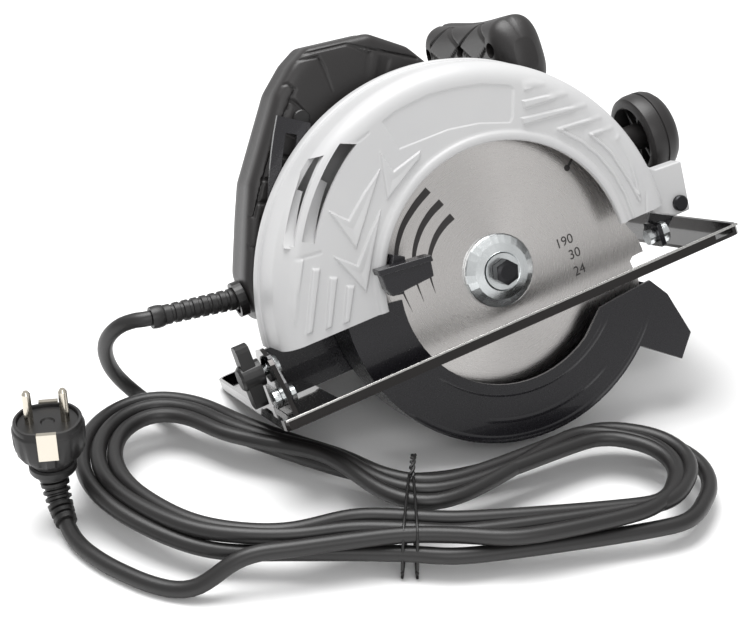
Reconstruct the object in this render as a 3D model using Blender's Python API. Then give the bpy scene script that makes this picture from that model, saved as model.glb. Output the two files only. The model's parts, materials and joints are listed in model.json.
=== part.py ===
"""Hand-held circular saw, 190 mm blade, resting on a bench with its cord bundled.

The saw is drawn square to its base plate, in the saw frame: the origin is the
centre of the blade, +X is the cutting direction, +Y runs along the spindle to
the motor and +Z is up from the base plate. Sizes are in millimetres and become
metres in put(). An empty then leans the saw onto its three resting points: the
lower guard, the far rear corner of the base plate and the motor's end cap.
The cord lies in the bench frame, below the blade's centre, with z = 0 the bench.
"""

import math

import bmesh
import bpy
import numpy as np
from mathutils import Vector

MM = 0.001
GAP = 0.3

# Resting attitude on the bench, degrees
REST_ROLL = -21.13
REST_PITCH = -11.23

# Blade and spindle
BLADE_R = 95.0
BLADE_BODY_R = 87.0
BLADE_T = 1.7
BLADE_BORE_R = 15.0
BLADE_TEETH = 24
FLANGE_R = 21.5
FLANGE_T = 4.8
SPINDLE_R = 6.0
SPINDLE_END = 44.0
SPINDLE_LOCK = (23.0, -11.0)
BOLT_R = 4.0
BOLT_HEAD_AF = 13.0
BOLT_HEAD_T = 7.0

# Gear train
MODULE = 1.25
PINION_TEETH = 10
GEAR_TEETH = 41
GEAR_Y = (25.0, 32.0)
MOTOR_ANGLE = 135.1
CENTRES = MODULE * (PINION_TEETH + GEAR_TEETH) / 2
MOTOR_X = CENTRES * math.cos(math.radians(MOTOR_ANGLE))
MOTOR_Z = CENTRES * math.sin(math.radians(MOTOR_ANGLE))

# Bearings: outer radius, bore radius, width
FRONT_BEARING = (16.0, SPINDLE_R + GAP, 10.0)
CASE_BEARING = (13.0, 5.0 + GAP, 8.0)
TAIL_BEARING = (11.0, 4.0 + GAP, 7.0)

# Upper guard: a dished cover, round about an axis behind the spindle's
GUARD_R = 126.0
GUARD_X = -14.0
GUARD_FRONT = -16.2
GUARD_BACK = 23.5
GUARD_WALL = 2.6
GUARD_FILLET = 10.0
GUARD_OPENING_R = 75.2
GUARD_REAR_SKIRT = 7.0
GUARD_FRONT_SKIRT = 0.5
BOSS_R = 20.0
VENTS = ((117.0, 124.5, 121.5, 150.5), (128.0, 133.0, 128.5, 152.0))
VENT_SLANT = 2.5
BOSS_FRONT = 7.6

# Lower guard
SHIELD_OUTER_R = 99.2
SHIELD_INNER_R = 65.0
SHIELD_FRONT = -13.0
SHIELD_BACK = 19.5
SHIELD_WALL = 2.0
HUB_R = 26.0

# Gear case and motor
CASE_FRONT = GUARD_BACK + GAP
CASE_BACK = 46.0
CASE_R = 34.0
MOTOR_R = 45.0
MOTOR_WALL = 3.0
MOTOR_BACK = 195.0
CAP_BACK = 209.5
STATOR_Y = (78.0, 128.0)
STATOR_BORE_R = 22.5
ARMATURE_R = 21.8
COMMUTATOR_R = 13.0
COMMUTATOR_Y = (142.0, 158.0)
BRUSH_Y = 150.0
FAN_R = 38.0
FAN_Y = (49.0, 58.0)

# Rear handle
HANDLE_Y = 55.0
HANDLE_HALF = 18.0
HANDLE_BACK_X = -134.0
GRIP_ORIGIN = (-73.0, 86.0)
GRIP_ANGLE = 234.2
CORD_EXIT_Z = 31.0
SLEEVE_LENGTH = 55.0

# Top grip and front knob
TOP_GRIP_Y = (26.0, 152.0)
TOP_GRIP_X = 69.5
TOP_GRIP_Z = 107.0
TOP_GRIP_HALF_X = 15.5
TOP_GRIP_HALF_Z = 23.0
TOP_GRIP_SEAM_X = 70.0
GRIP_SCREW_Y = (40.0, 89.0, 138.0)
ARM_Y = (27.0, 43.0)
KNOB_R = 26.0
KNOB_Z = 34.0
KNOB_X = (112.5, 148.0)

# Base plate and its brackets
BASE_X = (-154.6, 142.3)
BASE_Y = (-29.2, 118.7)
BASE_Z = -29.9
BASE_T = 2.0
LIP_TOP = -23.8
SLOT_X = (-118.0, 112.0)
SLOT_Y = (-17.0, 50.0)
BEVEL_Y = -1.0
BEVEL_Z = -18.0
DEPTH_X = 121.0
DEPTH_Z = -4.5
STRAP_R = 235.0
STRAP_HALF = 10.0
STRAP_SLOT_HALF = 3.4
STRAP_Y = (24.2, 26.7)
LOCK_ANGLE = 175.0
KNOB_BOLT_Y = 15.0
KNOB_BOLT_Z = -4.0
QUADRANT_X = -143.6
SHEET_T = 2.5

# Cord
CORD_D = 9.0
HANK_Z = (1.8, 28.0)
TIE_T = 1.2
TIE_HALF_WIDTH = 36.0


# ---------------------------------------------------------------- drawing tools

def clear_scene():
    """Empty the file without closing it."""
    for item in list(bpy.data.objects):
        bpy.data.objects.remove(item, do_unlink=True)


def finish(name, colour, roughness, metallic=0.0):
    """A plain Principled finish; colour is linear RGB."""
    material = bpy.data.materials.new(name)
    material.use_nodes = True
    shader = material.node_tree.nodes["Principled BSDF"]
    shader.inputs["Base Color"].default_value = (*colour, 1.0)
    shader.inputs["Roughness"].default_value = roughness
    shader.inputs["Metallic"].default_value = metallic
    material.diffuse_color = (*colour, 1.0)
    return material


def empty(name):
    """An empty that carries other objects."""
    item = bpy.data.objects.new(name, None)
    bpy.context.collection.objects.link(item)
    return item


def put(name, mesh_data, material=None, parent=None):
    """Make an object from a bmesh drawn in millimetres."""
    bmesh.ops.remove_doubles(mesh_data, verts=mesh_data.verts, dist=1e-4)
    bmesh.ops.recalc_face_normals(mesh_data, faces=mesh_data.faces)
    bmesh.ops.scale(mesh_data, vec=(MM, MM, MM), verts=mesh_data.verts)
    mesh = bpy.data.meshes.new(name)
    mesh_data.to_mesh(mesh)
    mesh_data.free()
    mesh.shade_smooth()
    mesh.set_sharp_from_angle(angle=math.radians(35))
    item = bpy.data.objects.new(name, mesh)
    bpy.context.collection.objects.link(item)
    if material:
        mesh.materials.append(material)
    item.parent = parent
    return item


def placed(plane, u, v, w):
    """A point from two coordinates in a plane and one across it."""
    return {"XZ": (u, w, v), "YZ": (w, u, v), "XY": (u, v, w)}[plane]


def circle(u, v, radius, steps=32, start=0.0, end=360.0):
    """Points on a circle, or on an arc of it with both its ends."""
    closed = abs(end - start) >= 360.0
    angles = np.radians(np.linspace(start, end, steps, endpoint=not closed))
    return [(u + radius * math.cos(a), v + radius * math.sin(a)) for a in angles]


def box_outline(low_u, high_u, low_v, high_v):
    """The four corners of a rectangle."""
    return [(low_u, low_v), (high_u, low_v), (high_u, high_v), (low_u, high_v)]


def rounded(points, radius, steps=4):
    """A polygon with each corner turned into a short arc-like curve."""
    result = []
    count = len(points)
    for index in range(count):
        corner = Vector(points[index])
        before = Vector(points[index - 1]) - corner
        after = Vector(points[(index + 1) % count]) - corner
        reach = min(radius, before.length * 0.45, after.length * 0.45)
        start = corner + before.normalized() * reach
        end = corner + after.normalized() * reach
        for step in range(steps + 1):
            t = step / steps
            point = start * (1 - t) ** 2 + corner * 2 * t * (1 - t) + end * t ** 2
            result.append((point.x, point.y))
    return result


def draw_prism(outline, low, high, plane="XZ"):
    """A bmesh prism: an outline in a plane, carried straight across it."""
    mesh_data = bmesh.new()
    bottom = [mesh_data.verts.new(placed(plane, u, v, low)) for u, v in outline]
    top = [mesh_data.verts.new(placed(plane, u, v, high)) for u, v in outline]
    count = len(outline)
    mesh_data.faces.new(bottom)
    mesh_data.faces.new(reversed(top))
    for index in range(count):
        after = (index + 1) % count
        mesh_data.faces.new((bottom[index], bottom[after], top[after], top[index]))
    return mesh_data


def draw_loft(rings):
    """A bmesh skin through rings of equal count, closed by a face at each end."""
    mesh_data = bmesh.new()
    rows = [[mesh_data.verts.new(point) for point in ring] for ring in rings]
    count = len(rows[0])
    mesh_data.faces.new(rows[0])
    mesh_data.faces.new(reversed(rows[-1]))
    for first, second in zip(rows, rows[1:]):
        for index in range(count):
            after = (index + 1) % count
            mesh_data.faces.new((first[index], first[after], second[after], second[index]))
    return mesh_data


def draw_turned(profile, centre, axis="Y", steps=28):
    """A bmesh turned from (radius, height) points about a line through centre.

    A profile that leaves and returns to radius 0 gives a solid, and one that
    stays off the axis is closed on itself and gives a ring.
    """
    mesh_data = bmesh.new()
    plane = {"Y": "XZ", "X": "YZ", "Z": "XY"}[axis]
    rows = []
    for radius, height in profile:
        if radius == 0:
            rows.append([mesh_data.verts.new(placed(plane, *centre, height))])
            continue
        ring = circle(*centre, radius, steps)
        rows.append([mesh_data.verts.new(placed(plane, u, v, height)) for u, v in ring])
    pairs = list(zip(rows, rows[1:]))
    if profile[0][0] > 0:
        pairs.append((rows[-1], rows[0]))
    for first, second in pairs:
        for index in range(steps):
            after = (index + 1) % steps
            corners = [first[index % len(first)], first[after % len(first)],
                       second[after % len(second)], second[index % len(second)]]
            mesh_data.faces.new(list(dict.fromkeys(corners)))
    return mesh_data


def prism(name, outline, low, high, material, parent, plane="XZ"):
    """A prism as an object."""
    return put(name, draw_prism(outline, low, high, plane), material, parent)


def turned(name, profile, centre, material, parent, axis="Y", steps=28):
    """A turned solid or ring as an object."""
    return put(name, draw_turned(profile, centre, axis, steps), material, parent)


def ring_profile(outer, inner, low, high):
    """The profile of a plain ring."""
    return [(inner, low), (outer, low), (outer, high), (inner, high)]


def disc_profile(radius, low, high, chamfer=0.0):
    """The profile of a solid disc, with a chamfer at both edges."""
    return [(0, low), (radius - chamfer, low), (radius, low + chamfer),
            (radius, high - chamfer), (radius - chamfer, high), (0, high)]


def boolean(item, mesh_data, operation):
    """Cut or add a guide shape, which stays hidden beside the object."""
    guide = put(f"{item.name}_guide", mesh_data, parent=item.parent)
    guide.hide_render = True
    guide.display_type = "WIRE"
    modifier = item.modifiers.new(operation.lower(), "BOOLEAN")
    modifier.operation = operation
    modifier.object = guide
    modifier.solver = "EXACT"


def cut(item, mesh_data):
    """Take a guide shape out of an object."""
    boolean(item, mesh_data, "DIFFERENCE")


def add(item, mesh_data):
    """Join a guide shape to an object."""
    boolean(item, mesh_data, "UNION")


def smooth_path(points, spacing):
    """Evenly spaced points on a smooth curve through the given ones."""
    knots = np.array(points, float)
    padded = np.vstack([2 * knots[0] - knots[1], knots, 2 * knots[-1] - knots[-2]])
    fine = []
    for index in range(1, len(padded) - 2):
        a, b, c, d = padded[index - 1:index + 3]
        for t in np.linspace(0, 1, 24, endpoint=False):
            fine.append(0.5 * (2 * b + (c - a) * t + (2 * a - 5 * b + 4 * c - d) * t ** 2
                               + (3 * b - a - 3 * c + d) * t ** 3))
    fine.append(knots[-1])
    fine = np.array(fine)
    run = np.concatenate([[0], np.cumsum(np.linalg.norm(np.diff(fine, axis=0), axis=1))])
    count = max(3, round(run[-1] / spacing) + 1)
    places = np.linspace(0, run[-1], count)
    return np.stack([np.interp(places, run, fine[:, k]) for k in range(3)], axis=1)


def straight_ended(route, points, run):
    """The route with a short straight run at each end, so that its caps sit square."""
    ahead = np.subtract(points[1], points[0])
    behind = np.subtract(points[-1], points[-2])
    start = route[0] + ahead / np.linalg.norm(ahead) * run
    end = route[-1] - behind / np.linalg.norm(behind) * run
    return np.vstack([route[0], start, route[1:-1], end, route[-1]])


def tube(name, points, diameter, material, parent):
    """A round cord along a smooth curve, with filled ends."""
    curve = bpy.data.curves.new(name, "CURVE")
    curve.dimensions = "3D"
    curve.bevel_depth = diameter / 2 * MM
    curve.bevel_resolution = 3
    curve.use_fill_caps = True
    route = straight_ended(smooth_path(points, 2.3 * diameter), points, diameter / 3)
    spline = curve.splines.new("POLY")
    spline.points.add(len(route) - 1)
    for point, place in zip(spline.points, route):
        point.co = (*(place * MM), 1.0)
    curve.materials.append(material)
    item = bpy.data.objects.new(name, curve)
    bpy.context.collection.objects.link(item)
    item.parent = parent
    return item


def gear_outline(teeth, centre, phase, addendum, dedendum):
    """A gear's outline with short, slim, straight-sided teeth."""
    pitch_r = MODULE * teeth / 2
    step = 2 * math.pi / teeth
    points = []
    for tooth in range(teeth):
        middle = math.radians(phase) + tooth * step
        for offset, radius in ((-0.27, pitch_r - dedendum), (-0.09, pitch_r + addendum),
                               (0.09, pitch_r + addendum), (0.27, pitch_r - dedendum)):
            angle = middle + offset * step
            points.append((centre[0] + radius * math.cos(angle), centre[1] + radius * math.sin(angle)))
    return points


def hexagon(u, v, across_flats, turn=0.0):
    """A hexagon's corners from its size across flats."""
    radius = across_flats / math.sqrt(3)
    return circle(u, v, radius, 6, turn, turn + 360.0)


def hull(points):
    """The convex outline round a set of points."""
    ordered = sorted(set(points))

    def half(sequence):
        chain = []
        for point in sequence:
            while len(chain) > 1 and cross(chain[-2], chain[-1], point) <= 1e-9:
                chain.pop()
            chain.append(point)
        return chain[:-1]

    def cross(o, a, b):
        return (a[0] - o[0]) * (b[1] - o[1]) - (a[1] - o[1]) * (b[0] - o[0])

    return half(ordered) + half(reversed(ordered))


# ---------------------------------------------------------------- blade and spindle

def make_blade(steel, saw):
    """A toothed disc with hooked gullets and two expansion slots."""
    outline = []
    step = 360.0 / BLADE_TEETH
    hook = ((0.00, BLADE_R), (0.10, BLADE_R - 0.8), (0.42, BLADE_R - 3.5), (0.62, BLADE_BODY_R + 1.0),
            (0.78, BLADE_BODY_R - 1.0), (0.90, BLADE_BODY_R + 0.5), (0.97, BLADE_R - 3.0))
    for tooth in range(BLADE_TEETH):
        for share, radius in hook:
            outline += circle(0, 0, radius, 1, (tooth + share) * step, (tooth + share) * step + 1)
    blade = prism("saw_blade", outline, -BLADE_T / 2, BLADE_T / 2, steel, saw)
    cut(blade, draw_turned(disc_profile(BLADE_BORE_R, -9, 9), (0, 0)))


def make_spindle(steel, zinc, bolt_black, saw):
    """The turning parts on the spindle, from the bolt head to the gear."""
    flange_back = BLADE_T / 2 + GAP + FLANGE_T
    shaft = turned("spindle_shaft", [
        (0, -0.3), (SPINDLE_R, -0.3), (SPINDLE_R, 34.0), (CASE_BEARING[1] - GAP, 34.0),
        (CASE_BEARING[1] - GAP, SPINDLE_END), (0, SPINDLE_END)], (0, 0), steel, saw)
    cut(shaft, draw_turned(disc_profile(BOLT_R + GAP, -3, 16), (0, 0), steps=20))
    inner_y = BLADE_T / 2 + GAP
    bore = SPINDLE_R + GAP
    turned("inner_flange", [
        (bore, -0.5), (BLADE_BORE_R - GAP, -0.5), (BLADE_BORE_R - GAP, inner_y), (FLANGE_R, inner_y),
        (FLANGE_R, flange_back), (bore, flange_back)], (0, 0), zinc, saw)
    outer_y = -BLADE_T / 2 - GAP
    hole = BOLT_R + GAP
    turned("outer_flange", [
        (hole, -6.4), (9.5, -6.4), (11.5, -7.4), (16.5, -6.6), (FLANGE_R - 0.6, -3.6), (FLANGE_R, -3.0),
        (FLANGE_R, outer_y), (BLADE_BORE_R - GAP, outer_y), (hole, outer_y)], (0, 0), zinc, saw)
    head_back = -8.5
    turned("blade_washer", ring_profile(10.6, hole, head_back + GAP, -7.4 - GAP / 4), (0, 0), zinc, saw, steps=32)
    bolt = turned("blade_bolt", [
        (0, head_back - BOLT_HEAD_T), (4.6, head_back - BOLT_HEAD_T), (BOLT_HEAD_AF / 2, head_back - 6.2),
        (BOLT_HEAD_AF / 2, head_back), (BOLT_R, head_back), (BOLT_R, 14.0), (0, 14.0)],
        (0, 0), bolt_black, saw, steps=24)
    add(bolt, draw_prism(hexagon(0, 0, BOLT_HEAD_AF, 14), head_back - 6.0, head_back - 0.1))
    gear_web = prism("driven_gear", gear_outline(GEAR_TEETH, (0, 0), MOTOR_ANGLE, 0.85, 1.25),
                     *GEAR_Y, steel, saw)
    cut(gear_web, draw_turned(disc_profile(SPINDLE_R + GAP, 20, 40), (0, 0), steps=24))
    turned("spindle_front_bearing", ring_profile(FRONT_BEARING[0], FRONT_BEARING[1], 9.2, 9.2 + FRONT_BEARING[2]),
           (0, 0), steel, saw)
    turned("spindle_rear_bearing", ring_profile(CASE_BEARING[0], CASE_BEARING[1], 35.0, 35.0 + CASE_BEARING[2]),
           (0, 0), steel, saw)


# ---------------------------------------------------------------- guards

def guard_profile(inset, front, back):
    """Half profile of the dished upper guard, from the axis round the fillet."""
    radius = GUARD_R - inset
    fillet = GUARD_FILLET - inset / 2
    points = [(0, front)]
    for angle in np.radians(np.linspace(0, 90, 4)):
        points.append((radius - fillet + fillet * math.sin(angle), front + fillet - fillet * math.cos(angle)))
    return points + [(radius, back), (0, back)]


def make_upper_guard(casting, saw):
    """The fixed cover over the blade, with its bearing boss and front lug."""
    steps = 72
    axis = (GUARD_X, 0)
    guard = put("upper_guard", draw_turned(guard_profile(0, GUARD_FRONT, GUARD_BACK), axis, steps=steps),
                casting, saw)
    inner = guard_profile(GUARD_WALL, GUARD_FRONT + GUARD_WALL, GUARD_BACK - 3.0)
    cut(guard, draw_turned(inner, axis, steps=steps))
    cut(guard, draw_turned(disc_profile(GUARD_OPENING_R, -30, 0), (0, 0), steps=60))
    skirt = [(-200, GUARD_REAR_SKIRT), (-76, GUARD_REAR_SKIRT), (-60, GUARD_REAR_SKIRT), (60, GUARD_FRONT_SKIRT),
             (200, GUARD_FRONT_SKIRT), (200, -200), (-200, -200)]
    cut(guard, draw_prism(skirt, -30, 60))
    add(guard, draw_turned(disc_profile(CASE_R, GUARD_BACK - 2.8, GUARD_BACK - 0.1), (0, 0), steps=40))
    add(guard, draw_turned(disc_profile(BOSS_R, BOSS_FRONT, GUARD_BACK - 1.0), (0, 0), steps=36))
    lug = rounded([(100, 2), (104, -5), (116, -11), (127, -11), (130, 19), (112, 20), (100, 30)], 3, 2)
    add(guard, draw_prism(lug, -6.0, 5.8))
    seat_r = FRONT_BEARING[0] + GAP
    seat_y = BOSS_FRONT + 1.3
    cut(guard, draw_turned([(0, 0), (SPINDLE_R + 2, 0), (SPINDLE_R + 2, seat_y), (seat_r, seat_y), (seat_r, 40),
                            (0, 40)], (0, 0), steps=30))
    cut(guard, draw_turned(disc_profile(2.5 + GAP, -20, 20), (DEPTH_X, DEPTH_Z), steps=20))
    for inner_r, outer_r, low, high in VENTS:
        vent = circle(0, 0, outer_r, 8, low + VENT_SLANT, high) + circle(0, 0, inner_r, 8, high, low)
        cut(guard, draw_prism(vent, -30, -2))
    clamp = lock_centre()
    cut(guard, draw_turned(disc_profile(3.0 + GAP, 15, 40), clamp, steps=20))


def shield_outline(outer, inner):
    """The lower guard's face: a crescent that ends in a toe at the front."""
    arc = circle(0, 0, outer, 30, 172, 312)
    toe = [(90.0, -92.0), (100.6, -79.0), (93.0, -51.0), (84.5, -39.0), (58.0, -41.0), (49.0, -42.0)]
    back = circle(0, 0, inner, 24, 302, 172)
    return arc + toe + back


def make_lower_guard(steel, lever_black, spring_steel, saw):
    """The swinging guard: a channel round the blade's rim, hung on a hub."""
    shield = prism("lower_guard", shield_outline(SHIELD_OUTER_R, SHIELD_INNER_R), SHIELD_FRONT, SHIELD_BACK,
                   steel, saw)
    add(shield, draw_turned(disc_profile(HUB_R, SHIELD_BACK - 2.3, SHIELD_BACK - 0.1), (0, 0), steps=36))
    web = circle(0, 0, 70, 12, 176, 300) + [(0, 0)]
    add(shield, draw_prism(web, SHIELD_BACK - 2.1, SHIELD_BACK - 0.2))
    channel_r = SHIELD_OUTER_R - SHIELD_WALL
    channel = circle(0, 0, channel_r, 44, 150, 345) + circle(0, 0, 30, 12, 345, 150)
    cut(shield, draw_prism(channel, SHIELD_FRONT + SHIELD_WALL, SHIELD_BACK - 2.5))
    cut(shield, draw_turned(disc_profile(BOSS_R + GAP, 0, 40), (0, 0), steps=36))

    lever_centre = 159.0
    post = circle(0, 0, 73.6, 5, lever_centre - 9, lever_centre + 9)
    post += circle(0, 0, 66.0, 5, lever_centre + 9, lever_centre - 9)
    lever = prism("guard_lever", post, SHIELD_FRONT - GAP, -21.5, lever_black, saw)
    paddle = rounded([(-78, 12), (-49, 23), (-47, 33), (-50, 35), (-80, 24)], 2.5, 3)
    add(lever, draw_prism(paddle, -21.3, -30))
    turned("guard_return_spring", ring_profile(BOSS_R + 3.0, BOSS_R + GAP, 9.0, 16.2), (0, 0), spring_steel, saw)


# ---------------------------------------------------------------- gear case and motor

def make_gear_case(casting, saw):
    """The cast case behind the guard, with arms to the top grip and front knob."""
    outline = hull(circle(0, 0, CASE_R, 40) + circle(MOTOR_X, MOTOR_Z, MOTOR_R, 40))
    case = prism("gear_case", outline, CASE_FRONT, CASE_BACK, casting, saw)
    neck = rounded([(22, 24), (36, 2), (80, 74), (79, TOP_GRIP_Z - TOP_GRIP_HALF_Z - GAP),
                    (60, TOP_GRIP_Z - TOP_GRIP_HALF_Z - GAP), (56, 76)], 3, 2)
    add(case, draw_prism(neck, *ARM_Y))
    arm = rounded([(18, 2), (26, 30), (92, KNOB_Z + 14), (KNOB_X[0] - GAP, KNOB_Z + 14),
                   (KNOB_X[0] - GAP, KNOB_Z - 14), (96, KNOB_Z - 14)], 3, 2)
    add(case, draw_prism(arm, ARM_Y[0] + 1, ARM_Y[1] - 1))
    seat_r = CASE_BEARING[0] + GAP
    gear_room = MODULE * GEAR_TEETH / 2 + 3.6
    cut(case, draw_turned([(0, 20), (gear_room, 20), (gear_room, 34), (seat_r, 34), (seat_r, 44.5), (0, 44.5)],
                          (0, 0), steps=36))
    cut(case, draw_turned([(0, 20), (11.0, 20), (11.0, 33.6), (7.5, 33.6), (7.5, 37), (seat_r, 37), (seat_r, 60),
                           (0, 60)], (MOTOR_X, MOTOR_Z), steps=32))
    cut(case, draw_turned(disc_profile(5.0 + GAP, 37, 60), SPINDLE_LOCK, steps=20))


def make_motor(plastic, steel, copper, carbon, dark, saw):
    """Motor housing, field, armature, brushes and fan."""
    axis = (MOTOR_X, MOTOR_Z)
    case_back = CASE_BACK + GAP
    housing = turned("motor_housing", ring_profile(MOTOR_R, MOTOR_R - MOTOR_WALL, case_back, MOTOR_BACK),
                     axis, plastic, saw, steps=40)
    for index in range(10):
        turn = math.radians(200 + index * 16)
        middle = (axis[0] + MOTOR_R * math.cos(turn), axis[1] + MOTOR_R * math.sin(turn))
        across = (-math.sin(turn) * 2.5, math.cos(turn) * 2.5)
        out = (math.cos(turn) * 8, math.sin(turn) * 8)
        slot = [(middle[0] + s * across[0] + t * out[0], middle[1] + s * across[1] + t * out[1])
                for s, t in ((-1, -1), (1, -1), (1, 1), (-1, 1))]
        cut(housing, draw_prism(slot, FAN_Y[0] + 1, FAN_Y[1] + 1))
    cut(housing, draw_turned(disc_profile(7.3, MOTOR_X - 80, MOTOR_X + 80), (BRUSH_Y, MOTOR_Z), "X", 24))

    cap_front = MOTOR_BACK + GAP
    bore = TAIL_BEARING[0] + GAP
    tail_y = MOTOR_BACK - 8.0
    cap = turned("motor_end_cap", [
        (bore, tail_y - 1), (bore + 3, tail_y - 1), (bore + 3, CAP_BACK - 4), (MOTOR_R - MOTOR_WALL, CAP_BACK - 4),
        (MOTOR_R - MOTOR_WALL, cap_front), (MOTOR_R, cap_front), (MOTOR_R, CAP_BACK - 2), (MOTOR_R - 2, CAP_BACK),
        (6.0, CAP_BACK), (6.0, tail_y + TAIL_BEARING[2] + GAP), (bore, tail_y + TAIL_BEARING[2] + GAP)], axis, plastic, saw, steps=40)
    for index in (-2, -1, 1, 2):
        middle = axis[0] + math.copysign(8 + 10 * (abs(index) - 1), index) + math.copysign(10, index)
        slot = box_outline(middle - 2.5, middle + 2.5, axis[1] - 18, axis[1] + 18)
        cut(cap, draw_prism(slot, CAP_BACK - 4.5, CAP_BACK + 4))
    turned("motor_front_bearing", ring_profile(CASE_BEARING[0], CASE_BEARING[1], 37.4, 37.4 + CASE_BEARING[2]),
           axis, steel, saw)
    turned("motor_rear_bearing", ring_profile(TAIL_BEARING[0], TAIL_BEARING[1], tail_y, tail_y + TAIL_BEARING[2]),
           axis, steel, saw)
    turned("stator_core", ring_profile(MOTOR_R - MOTOR_WALL - GAP, STATOR_BORE_R, *STATOR_Y), axis, steel, saw)
    coil = (39.0, 26.0)
    turned("field_coil_front", ring_profile(*coil, STATOR_Y[0] - 9, STATOR_Y[0] - GAP), axis, copper, saw)
    turned("field_coil_rear", ring_profile(*coil, STATOR_Y[1] + GAP, STATOR_Y[1] + 8), axis, copper, saw)

    shaft_r = CASE_BEARING[1] - GAP
    tail_r = TAIL_BEARING[1] - GAP
    phase = MOTOR_ANGLE + 180 + 180.0 / PINION_TEETH
    shaft = turned("armature_shaft", [(0, GEAR_Y[1]), (shaft_r, GEAR_Y[1]), (shaft_r, tail_y - 8), (tail_r, tail_y - 8),
                                      (tail_r, tail_y + 6), (0, tail_y + 6)], axis, steel, saw, steps=24)
    add(shaft, draw_prism(gear_outline(PINION_TEETH, axis, phase, 0.85, 1.15), GEAR_Y[0], GEAR_Y[1] + 1))
    bore = shaft_r + GAP
    turned("armature_core", ring_profile(ARMATURE_R, bore, *STATOR_Y), axis, steel, saw, steps=36)
    turned("commutator", ring_profile(COMMUTATOR_R, bore, *COMMUTATOR_Y), axis, copper, saw, steps=36)
    fan = turned("cooling_fan", ring_profile(FAN_R, bore, FAN_Y[0], FAN_Y[0] + 2), axis, plastic, saw, steps=36)
    for index in range(8):
        turn = math.radians(index * 45)
        vane = [(12, -0.8), (FAN_R - 1, -0.8), (FAN_R - 1, 0.8), (12, 0.8)]
        vane = [(axis[0] + u * math.cos(turn) - v * math.sin(turn), axis[1] + u * math.sin(turn) + v * math.cos(turn))
                for u, v in vane]
        add(fan, draw_prism(vane, FAN_Y[0] + 1, FAN_Y[1]))

    for side, label in ((1, "front"), (-1, "rear")):
        near = sorted((axis[0] + side * 14.5, axis[0] + side * 38.5))
        holder = prism(f"brush_holder_{label}", box_outline(BRUSH_Y - 6, BRUSH_Y + 6, axis[1] - 7, axis[1] + 7),
                       *near, copper, saw, "YZ")
        hollow = box_outline(BRUSH_Y - 3.8, BRUSH_Y + 3.8, axis[1] - 4.8, axis[1] + 4.8)
        cut(holder, draw_prism(hollow, near[0] - 5, near[1] + 5, "YZ"))
        reach = sorted((axis[0] + side * (COMMUTATOR_R + GAP), axis[0] + side * 32))
        prism(f"carbon_brush_{label}", box_outline(BRUSH_Y - 3.5, BRUSH_Y + 3.5, axis[1] - 4.5, axis[1] + 4.5),
              *reach, carbon, saw, "YZ")
        cap_x = sorted((axis[0] + side * 39.0, axis[0] + side * (MOTOR_R + 0.8)))
        turned(f"brush_cap_{label}", disc_profile(7.0, *cap_x, 0.6), (BRUSH_Y, axis[1]), dark, saw, "X", 24)


# ---------------------------------------------------------------- handles

def grip_point(along, inward):
    """A point in the grip's own frame: down the grip, and in towards the fingers."""
    turn = math.radians(GRIP_ANGLE)
    down = (math.cos(turn), math.sin(turn))
    inner = (-math.sin(turn), math.cos(turn))
    return (GRIP_ORIGIN[0] + along * down[0] + inward * inner[0],
            GRIP_ORIGIN[1] + along * down[1] + inward * inner[1])


def grip_box(low_along, high_along, low_in, high_in):
    """A rectangle in the grip's own frame."""
    return [grip_point(*corner) for corner in box_outline(low_along, high_along, low_in, high_in)]


def make_handle(plastic, dark, button, saw):
    """The two handle shells, the switch, the trigger and the lock-off button."""
    outer = rounded([(18, 58), (18, 116), (6, 134), (-14, 149), (-52, 154), (-64, 148), (-79, 136), (-112, 93),
                     (-120, 76), (HANDLE_BACK_X, 44), (HANDLE_BACK_X, 17), (-112, 5), (-66, 1), (-40, 30), (0, 40)],
                    9, 3)
    window = rounded([(-8, 40), (-8, 100), (-18, 110), (-46, 114), (-60, 104), (-86, 68), (-92, 52), (-80, 40),
                      (-50, 40)], 8, 3)
    axis = (MOTOR_X, MOTOR_Z)
    for label, low, high in (("left", HANDLE_Y - HANDLE_HALF, HANDLE_Y - GAP / 2),
                             ("right", HANDLE_Y + GAP / 2, HANDLE_Y + HANDLE_HALF)):
        shell = prism(f"handle_{label}_shell", outer, low, high, plastic, saw)
        cut(shell, draw_prism(window, low - 9, high + 9))
        cut(shell, draw_turned(disc_profile(MOTOR_R + GAP, low - 9, high + 9), axis, steps=40))
        cut(shell, draw_prism(grip_box(-15.6, 15.6, -15.0, 12.0), HANDLE_Y - 5, HANDLE_Y + 5))
        cut(shell, draw_prism(grip_box(-19, 19, -28.0, -14.6), HANDLE_Y - 10, HANDLE_Y + 10))
        if label == "left":
            cut(shell, draw_turned(disc_profile(5.0 + GAP, low - 9, low + 12), grip_point(-27, -17), steps=24))
    prism("switch_body", grip_box(-18.5, 18.5, -27.5, -15.4), HANDLE_Y - 9.5, HANDLE_Y + 9.5, dark, saw)
    shape = rounded(grip_box(-15, 15, -9.0, 8.0), 3, 2)
    prism("switch_trigger", shape, HANDLE_Y - 4.6, HANDLE_Y + 4.6, button, saw)
    left = HANDLE_Y - HANDLE_HALF
    turned("lock_off_button", disc_profile(5.0, left - 3.5, left + 7.5, 0.6), grip_point(-27, -17), button, saw,
           steps=24)
    turned("spindle_lock_button", disc_profile(5.0, 41.5, 54.0, 0.8), SPINDLE_LOCK, button, saw, steps=24)


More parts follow.
